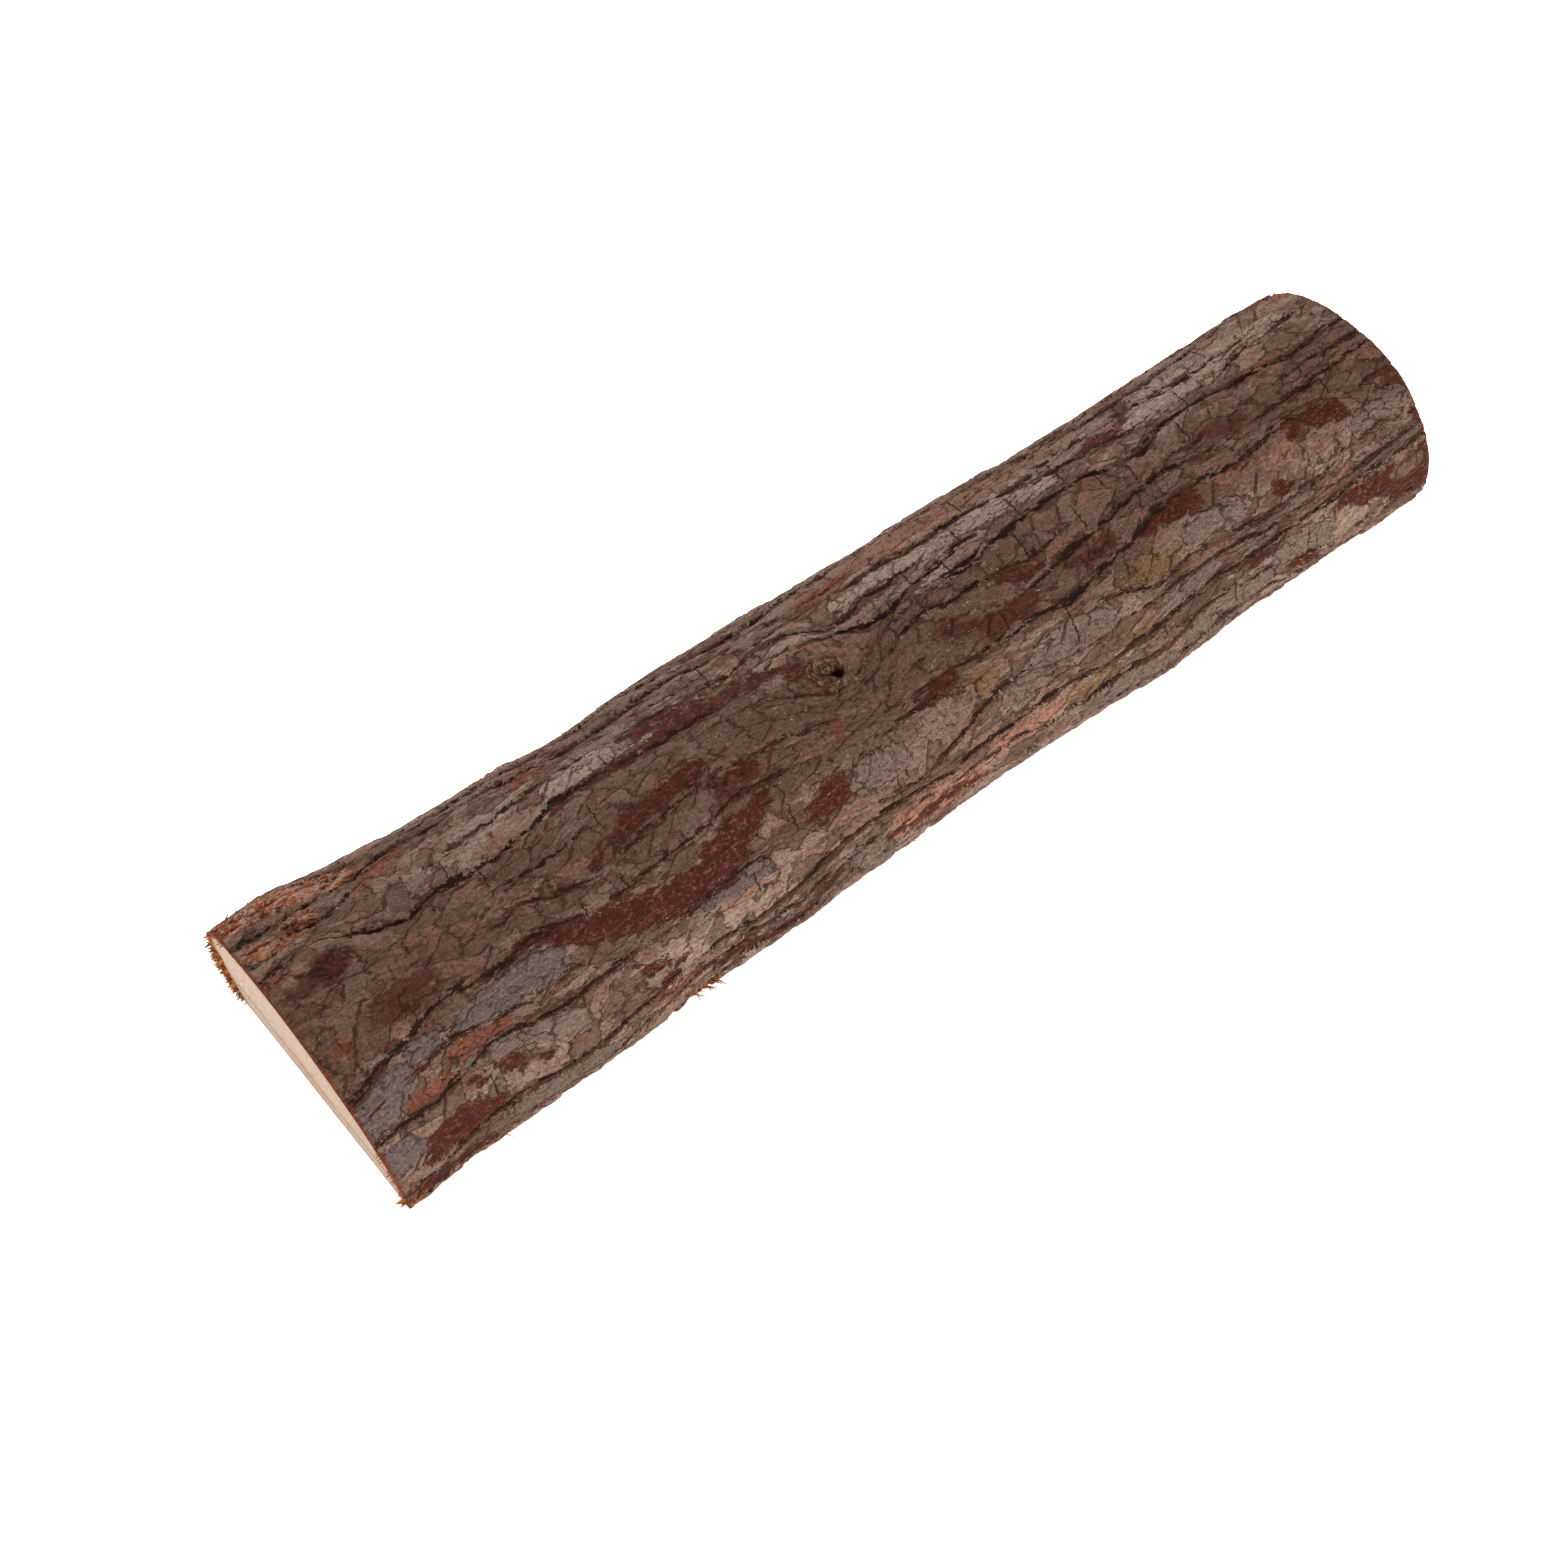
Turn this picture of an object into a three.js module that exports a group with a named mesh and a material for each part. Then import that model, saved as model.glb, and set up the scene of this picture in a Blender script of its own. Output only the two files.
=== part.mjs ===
// A short half log: a length of tapering branch wood with its bark on, sawn flat along one side
// and sawn across at both ends. It grew as one piece, so it is one closed solid.
//
// Millimetres. X runs along the grain from the wide butt end to the narrow top end, Y across the
// log and Z up. The sawn flat lies on Z = 0, and the origin is the middle of the flat's outline box.

import * as THREE from "three";

// Driving dimensions.
const LENGTH = 246.5; // along the middle of the log, between the two end cuts
const TOP_RADIUS = 24.9; // at the narrow top end
const TAPER = 2.2; // the steady widening over the whole length
const BUTT_FLARE = 4.9; // the extra widening at the butt, which fades quickly
const BUTT_CREST = 39.6; // height of the crest above the sawn flat at the butt end
const TOP_CREST = 39; // and at the top end
const BUTT_SWAY = 0.7; // how far the butt sits towards +Y of the line through the rest

// The saw cuts aren't quite square. Each is turned about Z and leaned about Y, in degrees.
const BUTT_CUT = { turn: -2.2, lean: -2.2 };
const TOP_CUT = { turn: -5.2, lean: -0.9 };

// Swellings and hollows of the trunk under the bark. along and around are the reach of each one
// down the log and round its girth; girth is measured round the bark from the crest, + to +Y.
const SWELLS = [
  { name: "butt lobe on the left", x: 12, girth: 27, rise: 1.2, along: 8, around: 14 },
  { name: "left hollow behind the butt", x: 45, girth: 26, rise: -1.0, along: 18, around: 14 },
  { name: "deeper left hollow", x: 74, girth: 26, rise: -1.3, along: 12, around: 14 },
  { name: "left shoulder by the knot", x: 115, girth: 25, rise: 0.4, along: 10, around: 12 },
  { name: "left dip", x: 190, girth: 24, rise: -0.4, along: 14, around: 12 },
  { name: "left lip at the top end", x: 238, girth: 24, rise: 0.5, along: 14, around: 12 },
  { name: "knot", x: 119, girth: -7, rise: 0.9, along: 7, around: 5 },
  { name: "healed burr near the butt", x: 12, girth: -3, rise: 0.7, along: 6, around: 5 },
  { name: "crown lobe at the top end", x: 246, girth: -16, rise: 0.9, along: 12, around: 8 },
  { name: "right hollow at the butt", x: 12, girth: -50, rise: -0.8, along: 14, around: 14 },
  { name: "right swell", x: 50, girth: -50, rise: 0.6, along: 12, around: 12 },
  { name: "right nick", x: 66, girth: -50, rise: -0.6, along: 6, around: 10 },
  { name: "second right swell", x: 90, girth: -50, rise: 0.5, along: 10, around: 12 },
  { name: "long right hollow", x: 138, girth: -48, rise: -0.7, along: 20, around: 12 },
  { name: "largest right swell", x: 181, girth: -48, rise: 1.3, along: 10, around: 12 },
  { name: "right dip", x: 203, girth: -46, rise: -0.8, along: 8, around: 10 },
  { name: "last right dip", x: 226, girth: -46, rise: -0.5, along: 10, around: 10 },
];

// Fineness of the faceted surface.
const STEPS_ALONG = 48;
const STEPS_AROUND = 24;

const slope = (degrees) => Math.tan(THREE.MathUtils.degToRad(degrees));

// Radius of the trunk and height of its centre above the flat, at a share of the length.
function trunkAt(share) {
  const left = 1 - share;
  const radius = TOP_RADIUS + TAPER * left + BUTT_FLARE * left ** 3;
  const crest = THREE.MathUtils.lerp(BUTT_CREST, TOP_CREST, share);
  return { radius, centreHeight: crest - radius };
}

function swellAt(x, girth) {
  let rise = 0;
  for (const s of SWELLS) {
    const reach = ((x - s.x) / s.along) ** 2 + ((girth - s.girth) / s.around) ** 2;
    rise += s.rise * Math.exp(-reach);
  }
  return rise;
}

// Half of a unit disc: its arc becomes the bark side and its straight edge the sawn flat.
function halfDisc() {
  const outline = new THREE.Shape();
  outline.moveTo(1, 0);
  outline.absarc(0, 0, 1, 0, Math.PI, false);
  outline.closePath();
  return outline;
}

// Carries a point of the extruded half disc to its place on the log.
function placeOnLog(point) {
  const share = point.z;
  const { radius, centreHeight } = trunkAt(share);
  // The trunk is cut below its middle, so the bark side is more than half a turn.
  const undercut = Math.asin(centreHeight / radius);
  const halfTurn = Math.PI / 2 + undercut;
  const onArc = Math.atan2(point.y, point.x); // 0 at the +Y edge of the flat, PI at the -Y edge
  const angle = (1 - (2 * onArc) / Math.PI) * halfTurn; // from the crest
  const reach = radius + swellAt(share * LENGTH, angle * radius);
  const y = reach * Math.sin(angle) + BUTT_SWAY * (1 - share) ** 4;
  const atEdge = Math.abs(point.y) < 1e-6;
  const z = atEdge ? 0 : Math.max(0, centreHeight + reach * Math.cos(angle));
  const turn = THREE.MathUtils.lerp(slope(BUTT_CUT.turn), slope(TOP_CUT.turn), share);
  const lean = THREE.MathUtils.lerp(slope(BUTT_CUT.lean), slope(TOP_CUT.lean), share);
  point.set(LENGTH * share + turn * y + lean * z, y, z);
}

function logGeometry() {
  const geometry = new THREE.ExtrudeGeometry(halfDisc(), {
    depth: 1,
    steps: STEPS_ALONG,
    curveSegments: STEPS_AROUND,
    bevelEnabled: false,
  });
  const position = geometry.getAttribute("position");
  const point = new THREE.Vector3();
  for (let i = 0; i < position.count; i++) {
    point.fromBufferAttribute(position, i);
    placeOnLog(point);
    position.setXYZ(i, point.x, point.y, point.z);
  }
  // The middle of the flat's outline box becomes the origin.
  geometry.computeBoundingBox();
  const middle = geometry.boundingBox.getCenter(new THREE.Vector3());
  geometry.translate(-middle.x, -middle.y, 0);
  geometry.computeVertexNormals();
  return geometry;
}

const bark = new THREE.MeshStandardMaterial({ color: 0x6e5a4d, roughness: 0.92, metalness: 0 });

const log = new THREE.Mesh(logGeometry(), bark);
log.name = "log";

const part = new THREE.Group();
part.name = "half_log";
part.add(log);

export default part;
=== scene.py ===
"""A short half log with its bark on, sawn flat underneath and cut across at both ends.

The log was cut from a tapering branch. Its grey outer bark has split along the grain into rows of
plates, and where plates have come away the red inner bark shows. The ends and the underside are
bare, pale sawn wood. Lengths are in millimetres, and in metres for the lamps, the camera and the
finished meshes.
"""

import math
from types import SimpleNamespace

import bpy
import numpy as np
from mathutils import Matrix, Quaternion, Vector
from mathutils.bvhtree import BVHTree


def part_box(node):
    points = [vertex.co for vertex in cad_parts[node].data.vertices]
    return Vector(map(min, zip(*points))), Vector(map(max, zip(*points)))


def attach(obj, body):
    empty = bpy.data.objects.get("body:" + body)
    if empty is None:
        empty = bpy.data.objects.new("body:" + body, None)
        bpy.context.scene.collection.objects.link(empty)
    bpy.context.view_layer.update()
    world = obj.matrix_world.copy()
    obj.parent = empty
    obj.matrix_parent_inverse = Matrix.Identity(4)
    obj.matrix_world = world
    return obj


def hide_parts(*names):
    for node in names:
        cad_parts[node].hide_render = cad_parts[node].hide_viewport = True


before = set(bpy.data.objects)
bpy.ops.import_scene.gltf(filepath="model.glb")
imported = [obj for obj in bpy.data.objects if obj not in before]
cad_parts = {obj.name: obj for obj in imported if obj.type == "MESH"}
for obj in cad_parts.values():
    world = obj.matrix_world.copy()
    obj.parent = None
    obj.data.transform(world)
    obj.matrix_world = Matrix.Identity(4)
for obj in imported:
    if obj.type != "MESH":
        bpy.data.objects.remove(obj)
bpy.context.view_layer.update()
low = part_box("log")[0]
MM = 0.001

# ------------------------------------------------------------------------------------------------
# The trunk. It is a little more than half round, wide at the butt (towards -X) and narrow at the
# top (towards +X), and it lies on its sawn flat. The two saw cuts across it aren't quite square.
# ------------------------------------------------------------------------------------------------
LENGTH = 246.5
TOP_RADIUS = 24.9
TAPER = 2.2
BUTT_FLARE = 4.9
BUTT_CREST = 39.6
TOP_CREST = 39.0
BUTT_SWAY = 0.7
GRAIN_OFFSET = (1.75, 0.44)  # from the grain line that girths are counted from, up to the crest
BUTT_CUT = (-2.2, -2.2)  # degrees: its turn about Z and its lean about Y
TOP_CUT = (-5.2, -0.9)
PITH_START = (low.x / MM + 2.03, low.y / MM + 30.91)  # where the pith line meets the butt cut

ALONG_STEPS = 324
BARK_STEPS = 248
FLAT_STEPS = 20
END_RINGS = 12
RIM_STEP = 0.06  # the outermost ring of a cut end, as a share of the way in to the pith
PITH_HEIGHT = 10.0
END_MARGIN = 0.004  # the rays that read the solid stay this share of the length in from its cuts
EDGE_MARGIN = 0.997  # and this share of the way round to the sawn flat

def trunk_radius(share):
    left = 1 - share
    return TOP_RADIUS + TAPER * left + BUTT_FLARE * left**3


def centre_height(share):
    return BUTT_CREST + (TOP_CREST - BUTT_CREST) * share - trunk_radius(share)


def half_turn(share):
    """The angle from the crest round to where the bark meets the sawn flat."""
    return math.pi / 2 + np.arcsin(centre_height(share) / trunk_radius(share))


def slanted(share, y, z):
    """Points of the cut at this share of the length, in the part's frame."""
    turn, lean = (
        np.tan(np.radians(butt + (top - butt) * share)) for butt, top in zip(BUTT_CUT, TOP_CUT)
    )
    x = LENGTH * share + turn * y + lean * z
    return np.stack([x + PITH_START[0], y + PITH_START[1], z + 0 * y], axis=-1)


def round_trunk(share, angle):
    """Points on the plain round trunk. The angle is from the crest, and grows towards +Y."""
    reach = trunk_radius(share)
    y = reach * np.sin(angle) + BUTT_SWAY * (1 - share) ** 4
    return slanted(share, y, centre_height(share) + reach * np.cos(angle))


# The log's own swellings and hollows are read from the CAD solid, by looking out from its pith.
cad_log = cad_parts["log"].data
cad_surface = BVHTree.FromPolygons(
    [v.co / MM for v in cad_log.vertices], [tuple(p.vertices) for p in cad_log.polygons]
)
share = np.repeat(np.linspace(0, 1, ALONG_STEPS + 1)[:, None], BARK_STEPS + 1, axis=1)
round_share = np.linspace(1, -1, BARK_STEPS + 1)[None, :]
angle = round_share * half_turn(share)
along = share * LENGTH
girth = angle * trunk_radius(share) + np.interp(share, [0, 1], GRAIN_OFFSET)
inside_share = share.clip(END_MARGIN, 1 - END_MARGIN)
pith_line = slanted(inside_share, 0 * angle, centre_height(inside_share))
plain = round_trunk(inside_share, angle * EDGE_MARGIN)
reach_gain = np.ones(share.shape)
for ring in range(ALONG_STEPS + 1):
    for step in range(BARK_STEPS + 1):
        start = Vector(pith_line[ring, step])
        way = Vector(plain[ring, step]) - start
        hit = cad_surface.ray_cast(start, way.normalized())[3]
        if hit is not None:
            reach_gain[ring, step] = hit / way.length
pith_line = slanted(share, 0 * angle, centre_height(share))
bark_points = pith_line + (round_trunk(share, angle) - pith_line) * reach_gain[..., None]
bark_points[:, [0, -1], 2] = 0
outward = bark_points - pith_line
outward[..., 0] = 0
outward /= np.linalg.norm(outward, axis=-1, keepdims=True)

# ------------------------------------------------------------------------------------------------
# The furrows. As the branch thickened its outer bark split along the grain into rows of plates.
# Each furrow is given from the butt to the top as (mm along, mm of girth, how open).
# ------------------------------------------------------------------------------------------------
FURROWS = [
    [(0, 23, 0.6), (20, 22, 0.8), (30, 20.5, 0.9), (45, 20, 1), (60, 19.5, 1), (72, 19.5, 1),
     (85, 21, 0.7), (104, 17.6, 1), (110, 15.6, 1), (117, 16.3, 1), (124, 18.2, 1), (136, 19.6, 1),
     (150, 19.6, 1), (165, 18.8, 0.9), (175, 17.6, 0.9), (181, 16, 0.8), (188, 17, 0.9),
     (200, 20.3, 1), (215, 21.5, 0.9), (230, 21.5, 0.8), (250, 22.5, 0.5)],
    [(0, 13.5, 0.5), (10, 13, 0.6), (20, 12.6, 0.9), (27, 13.3, 1), (31, 15.7, 0.9), (44, 15.2, 1),
     (52, 16.2, 0.8), (60, 15, 1), (66, 13.8, 0.9), (72, 12.4, 0.9), (80, 12.8, 1), (91, 14.2, 1),
     (97, 14.1, 1), (101, 13, 0.8), (112, 11.6, 0.2), (122, 11.8, 0.6), (130, 11.6, 0.3),
     (150, 13.5, 0.15), (170, 13.5, 0.25), (184, 14, 0.5), (192, 15.2, 0.7), (201, 14.2, 1),
     (208, 14, 1), (216, 15.6, 1), (223, 17.2, 1), (230, 19, 0.9), (250, 20.5, 0.5)],
    [(0, 9.5, 0.3), (12, 9, 0.5), (17, 7.4, 0.7), (22, 9, 0.8), (27, 11, 0.5), (32, 11.5, 0.1),
     (38, 12.5, 0.3), (47, 11.5, 0.3), (60, 10.5, 0.2), (75, 10.6, 0.2), (85, 9.5, 0.35),
     (97, 9.2, 0.4), (105, 9, 0.1), (112, 9.3, 0.3), (122, 9.2, 0.5), (131, 9, 0.3), (139, 9.6, 0.9),
     (150, 8.7, 1), (156, 9.1, 1), (166, 8.5, 1), (172, 7.4, 1), (178, 8, 0.9), (184, 9, 0.6),
     (194, 9.4, 0.3), (203, 9.3, 0.8), (210, 8, 1), (221, 8.3, 0.8), (227, 8.6, 0.4),
     (231, 9.5, 0.7), (238, 11.5, 0.2), (250, 12, 0.3)],
    [(0, 6, 0.4), (12, 6.2, 0.3), (20, 5, 0.2), (30, 4.5, 0.1), (40, 5, 0.5), (50, 6.4, 0.6),
     (60, 7.3, 0.6), (64, 8.2, 0.4), (72, 8, 0.3), (78, 7.8, 0.4), (86, 7.6, 0.5), (96, 6.3, 0.5),
     (103, 5.1, 0.7), (107, 6.4, 0.6), (112, 7.3, 0.8), (117, 6.8, 0.7), (121, 3.8, 0.8),
     (124, 2, 0.9), (127, 1.4, 0.9), (130, 3, 1), (134, 4.1, 1), (139, 3.2, 0.8), (143, 3.9, 0.6),
     (150, 4.8, 0.1), (165, 5.2, 0.1), (180, 5.6, 0.7), (187, 4.6, 0.6), (196, 3.4, 0.5),
     (206, 4.2, 0.2), (217, 2.8, 0.6), (222, 4.7, 0.6), (229, 6, 0.6), (237, 6.7, 0.8),
     (243, 7.4, 0.5), (250, 7.5, 0.3)],
    [(0, 2.4, 0.7), (5, 2.6, 0.6), (10, 4, 0.3), (14, 3.5, 0.8), (19, 0.6, 0.9), (24, -1.5, 0.9),
     (29, -2.7, 1), (35, -1, 0.9), (40, -1.4, 1), (46, -1.8, 0.8), (52, -0.7, 0.9), (60, 1.1, 0.8),
     (66, 2, 0.8), (76, 1.6, 0.7), (86, 0.5, 0.8), (96, 0.3, 0.6), (103, 0.4, 0.3), (109, 2.4, 0.4),
     (114, 3.4, 0.5), (118, 3, 0.6), (122, 0.9, 0.6), (126, -0.4, 0.8), (130, -2.2, 1),
     (135, -2.2, 1), (140, -0.2, 1), (147, 1.2, 1), (152, 1.6, 1), (156, 2.8, 0.7), (162, 2.6, 0.2),
     (170, 2.2, 0.1), (182, 2.6, 0.1), (200, 2.6, 0.1), (217, 1.6, 0.1), (230, 1.8, 0.2),
     (250, 2.5, 0.2)],
    [(0, -3, 0.2), (20, -5, 0.1), (30, -5.5, 0.1), (45, -4.4, 0.3), (52, -4, 0.3), (62, -1.8, 0.1),
     (76, -1.5, 0.15), (90, -2, 0.1), (100, -2.8, 0.4), (106, -4.6, 0.4), (111, -7, 0.3),
     (116, -10, 0.4), (121, -10.5, 0.4), (127, -7, 0.3), (134, -3.8, 0.6), (139, -3.5, 0.3),
     (146, -2.6, 0.3), (151, -2.3, 0.9), (156, -2.2, 1), (161, -0.8, 1), (167, -0.3, 0.9),
     (174, 0, 1), (181, 0.4, 1), (186, -1, 0.9), (191, -2, 0.9), (196, -1.8, 1), (201, 0, 1),
     (206, 0.9, 1), (212, 0.8, 0.9), (217, -0.1, 1), (223, -0.1, 0.8), (229, -1.6, 0.9),
     (234, -2, 0.9), (240, -1, 0.8), (250, -0.8, 0.6)],
    [(0, -7, 0.1), (25, -8, 0.1), (45, -7.5, 0.3), (52, -7.6, 0.6), (58, -7, 0.5), (64, -5.6, 0.3),
     (76, -4.6, 0.2), (90, -5, 0.15), (104, -7.5, 0.2), (112, -11, 0.3), (118, -12.5, 0.3),
     (126, -10.5, 0.3), (134, -6.8, 0.6), (139, -6, 0.9), (144, -7, 0.8), (149, -6.6, 0.7),
     (153, -7.5, 0.8), (158, -7.8, 0.8), (164, -8, 0.7), (169, -7.4, 0.3), (180, -5, 0.2),
     (195, -5.2, 0.3), (203, -6.2, 0.6), (210, -5.4, 0.3), (225, -5, 0.2), (236, -4.5, 0.6),
     (243, -5.4, 0.6), (250, -5, 0.4)],
    [(0, -11, 0.1), (20, -11.5, 0.1), (33, -12.3, 0.2), (41, -12, 0.6), (46, -11.2, 0.6),
     (50, -13, 0.7), (56, -14, 0.7), (62, -14.4, 0.5), (66, -13.8, 0.4), (72, -12.6, 0.4),
     (78, -11.7, 0.4), (84, -10.7, 0.4), (90, -10.1, 0.5), (97, -11.1, 0.5), (103, -12.1, 0.6),
     (110, -13.6, 0.4), (118, -15, 0.2), (128, -14, 0.2), (140, -12.5, 0.2), (150, -12.8, 0.2),
     (157, -13.2, 0.4), (161, -12.9, 0.8), (166, -11.9, 0.9), (171, -10.9, 0.9), (176, -10.3, 0.9),
     (182, -9.3, 0.8), (188, -8.3, 0.8), (196, -7.8, 0.9), (201, -8.7, 0.9), (207, -9.8, 0.7),
     (213, -9.4, 0.4), (220, -8.6, 0.6), (232, -8.4, 0.8), (243, -7.9, 0.7), (250, -7.8, 0.5)],
    [(0, -26, 0.9), (5, -24.6, 0.9), (8, -22.7, 1), (12, -21.6, 0.9), (17, -20.7, 0.9),
     (22, -19, 0.9), (27, -18, 0.8), (33, -19.3, 0.9), (39, -18.8, 0.8), (44, -17.6, 0.9),
     (50, -18.6, 0.6), (56, -19.4, 0.3), (62, -20, 0.5), (68, -19, 0.6), (74, -18.4, 0.7),
     (79, -17.8, 0.7), (84, -17.2, 0.5), (92, -15.4, 0.8), (97, -16.8, 0.8), (101, -16.7, 0.3),
     (112, -17.6, 0.2), (122, -18.5, 0.3), (130, -17.6, 0.4), (137, -17.5, 0.5), (143, -18.4, 0.8),
     (150, -18.4, 0.9), (155, -17.7, 0.8), (160, -18.5, 1), (164, -19.2, 1), (170, -17.9, 1),
     (177, -16.9, 1), (183, -15.8, 0.9), (187, -13.8, 0.8), (193, -13.2, 0.8), (200, -12.9, 0.8),
     (207, -14, 0.6), (214, -13.8, 0.7), (221, -12.2, 0.5), (232, -14, 0.3), (240, -14.5, 0.5),
     (250, -14, 0.4)],
    [(0, -29.6, 0.3), (12, -27.6, 0.3), (20, -25.6, 0.6), (30, -26.6, 0.4), (38, -27.6, 0.5),
     (47, -27, 0.3), (60, -27.5, 0.2), (80, -26.8, 0.1), (92, -26, 0.4), (100, -25.5, 0.2),
     (112, -22.4, 0.3), (120, -21, 0.3), (128, -20.7, 0.5), (136, -21, 0.3), (150, -22, 0.05),
     (166, -22.5, 0.1), (174, -23.2, 0.5), (179, -26, 0.8), (183, -25.4, 0.5), (190, -24.2, 0.5),
     (196, -24.6, 0.3), (202, -25.4, 0.5), (206, -26.4, 0.8), (211, -26, 0.7), (217, -25.6, 0.4),
     (224, -25.5, 0.6), (230, -23.5, 0.3), (238, -22.5, 0.4), (244, -25, 0.4), (250, -23, 0.2)],
    [(0, -35.5, 0.8), (4, -35, 0.9), (9, -34.6, 1), (14, -34.6, 1), (19, -33, 1), (24, -31, 1),
     (28, -30, 0.9), (31, -30.1, 0.9), (35, -31, 1), (40, -31.9, 1), (46, -31.9, 1), (52, -31, 0.9),
     (60, -30.4, 0.4), (70, -30.2, 0.5), (77, -29.5, 0.6), (84, -28.2, 0.5), (92, -29, 0.3),
     (100, -31, 0.2), (110, -31.6, 0.2), (116, -33.2, 0.6), (122, -33.6, 0.7), (128, -31.5, 0.8),
     (134, -29.5, 0.8), (140, -27.5, 0.8), (144, -26.2, 0.6), (150, -26.4, 0.4), (160, -28.5, 0.3),
     (170, -28.5, 0.3), (178, -28.4, 0.5), (190, -27.6, 0.4), (202, -28.2, 0.8), (208, -29, 0.6),
     (220, -28.8, 0.4), (232, -28.3, 0.6), (250, -26.5, 0.4)],
    [(0, -51.5, 0.4), (10, -50, 0.7), (15, -48, 0.9), (20, -46.6, 0.9), (25, -45.2, 0.9),
     (31, -44.4, 0.8), (36, -45.2, 0.6), (41, -45.4, 0.6), (46, -44.8, 0.7), (52, -43.6, 0.9),
     (57, -43, 0.8), (62, -42, 0.7), (68, -41, 0.8), (76, -40.1, 0.9), (85, -40.3, 0.8),
     (91, -39, 1), (97, -37.5, 1), (103, -36.2, 1), (110, -35.7, 1), (117, -35.6, 1),
     (123, -36.2, 0.9), (128, -37, 1), (135, -35.6, 1), (142, -35, 1), (150, -34.6, 1),
     (157, -34, 0.8), (164, -35.4, 0.7), (170, -34.9, 0.7), (180, -34, 0.8), (187, -32.4, 0.9),
     (193, -31.8, 0.9), (200, -32.4, 1), (206, -32.5, 1), (210, -31.3, 1), (216, -32, 0.9),
     (222, -31.6, 1), (228, -31, 1), (235, -30.5, 0.9), (250, -29.6, 0.6)],
    [(0, -56, 0.3), (20, -53.5, 0.4), (40, -51.5, 0.4), (60, -48, 0.4), (70, -44.5, 0.5),
     (76, -43.9, 0.8), (80, -42.6, 0.9), (86, -42.4, 0.8), (90, -43.4, 0.8), (95, -42.4, 0.6),
     (102, -41, 0.5), (110, -40, 0.3), (120, -39, 0.4), (128, -40, 0.3), (137, -38.8, 0.5),
     (145, -39.8, 0.6), (150, -41.5, 0.4), (156, -40.5, 0.5), (160, -42, 0.7), (164, -40.6, 0.9),
     (170, -39.7, 0.9), (176, -40, 0.8), (181, -39.4, 0.8), (186, -37.2, 0.5), (192, -36, 0.5),
     (198, -37.5, 0.4), (206, -38.5, 0.5), (212, -40.5, 0.7), (217, -42.6, 0.6), (222, -45.2, 0.7),
     (228, -43.9, 0.8), (236, -44.4, 0.8), (243, -44, 0.8), (250, -43.4, 0.6)],
]
ROW_PITCH = 6.3  # between the furrows low on both sides, which follow their neighbours
ROWS_ABOVE = 7
ROWS_BELOW = 4
SIDE_OPENNESS = 0.55
FURROW_SMOOTHING = 1.2
SMOOTHING_STEPS = 8

stations = np.linspace(0, LENGTH, ALONG_STEPS + 1)
chance = np.random.default_rng(12)


def slow_wander(step, size):
    """A random line along the log that changes over about one step, within plus or minus size."""
    knots = np.arange(-step, LENGTH + 2 * step, step)
    values = chance.uniform(-size, size, len(knots))
    place = (stations + step) / step
    low_knot = place.astype(int)
    ease = place - low_knot
    ease = ease * ease * (3 - 2 * ease)
    return values[low_knot] * (1 - ease) + values[low_knot + 1] * ease


def smoothed(line):
    """Rounds off the corners where the straight stretches of a furrow meet."""
    steps = np.arange(-SMOOTHING_STEPS, SMOOTHING_STEPS + 1)
    spread = np.exp(-(steps**2) / (2 * (FURROW_SMOOTHING / stations[1]) ** 2))
    return np.convolve(np.pad(line, SMOOTHING_STEPS, mode="edge"), spread / spread.sum(), "valid")


def furrow_line(points):
    x, y, openness = np.array(points, float).T
    return smoothed(np.interp(stations, x, y)), np.interp(stations, x, openness)


def next_furrow(neighbour, pitch):
    line = neighbour[0] + pitch + slow_wander(22, 0.9) + slow_wander(9, 0.4)
    return line, (SIDE_OPENNESS + slow_wander(26, 0.75)).clip(0, 1)


lines = [furrow_line(points) for points in FURROWS]
for _ in range(ROWS_ABOVE):
    lines.insert(0, next_furrow(lines[0], ROW_PITCH))
for _ in range(ROWS_BELOW):
    lines.append(next_furrow(lines[-1], -ROW_PITCH))
furrow_girths = np.array([line for line, _ in lines])
furrow_open = np.array([openness for _, openness in lines])
furrow_means = furrow_girths.mean(axis=1)

# row counts furrows from one side of the log to the other, so that it is whole on each furrow.
# flow is the girth with the grain's bends taken out, and row_width is from furrow to furrow.
row = np.zeros(girth.shape)
flow = np.zeros(girth.shape)
row_width = np.zeros(girth.shape)
open_here = np.zeros(girth.shape)
for ring in range(ALONG_STEPS + 1):
    at = furrow_girths[::-1, ring]
    count = np.arange(len(lines))[::-1].astype(float)
    row[ring] = np.interp(girth[ring], at, count)
    flow[ring] = np.interp(girth[ring], at, furrow_means[::-1])
    upper = row[ring].astype(int).clip(0, len(lines) - 2)
    row_width[ring] = furrow_girths[upper, ring] - furrow_girths[upper + 1, ring]
    open_here[ring] = furrow_open[np.rint(row[ring]).astype(int), ring]

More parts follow.
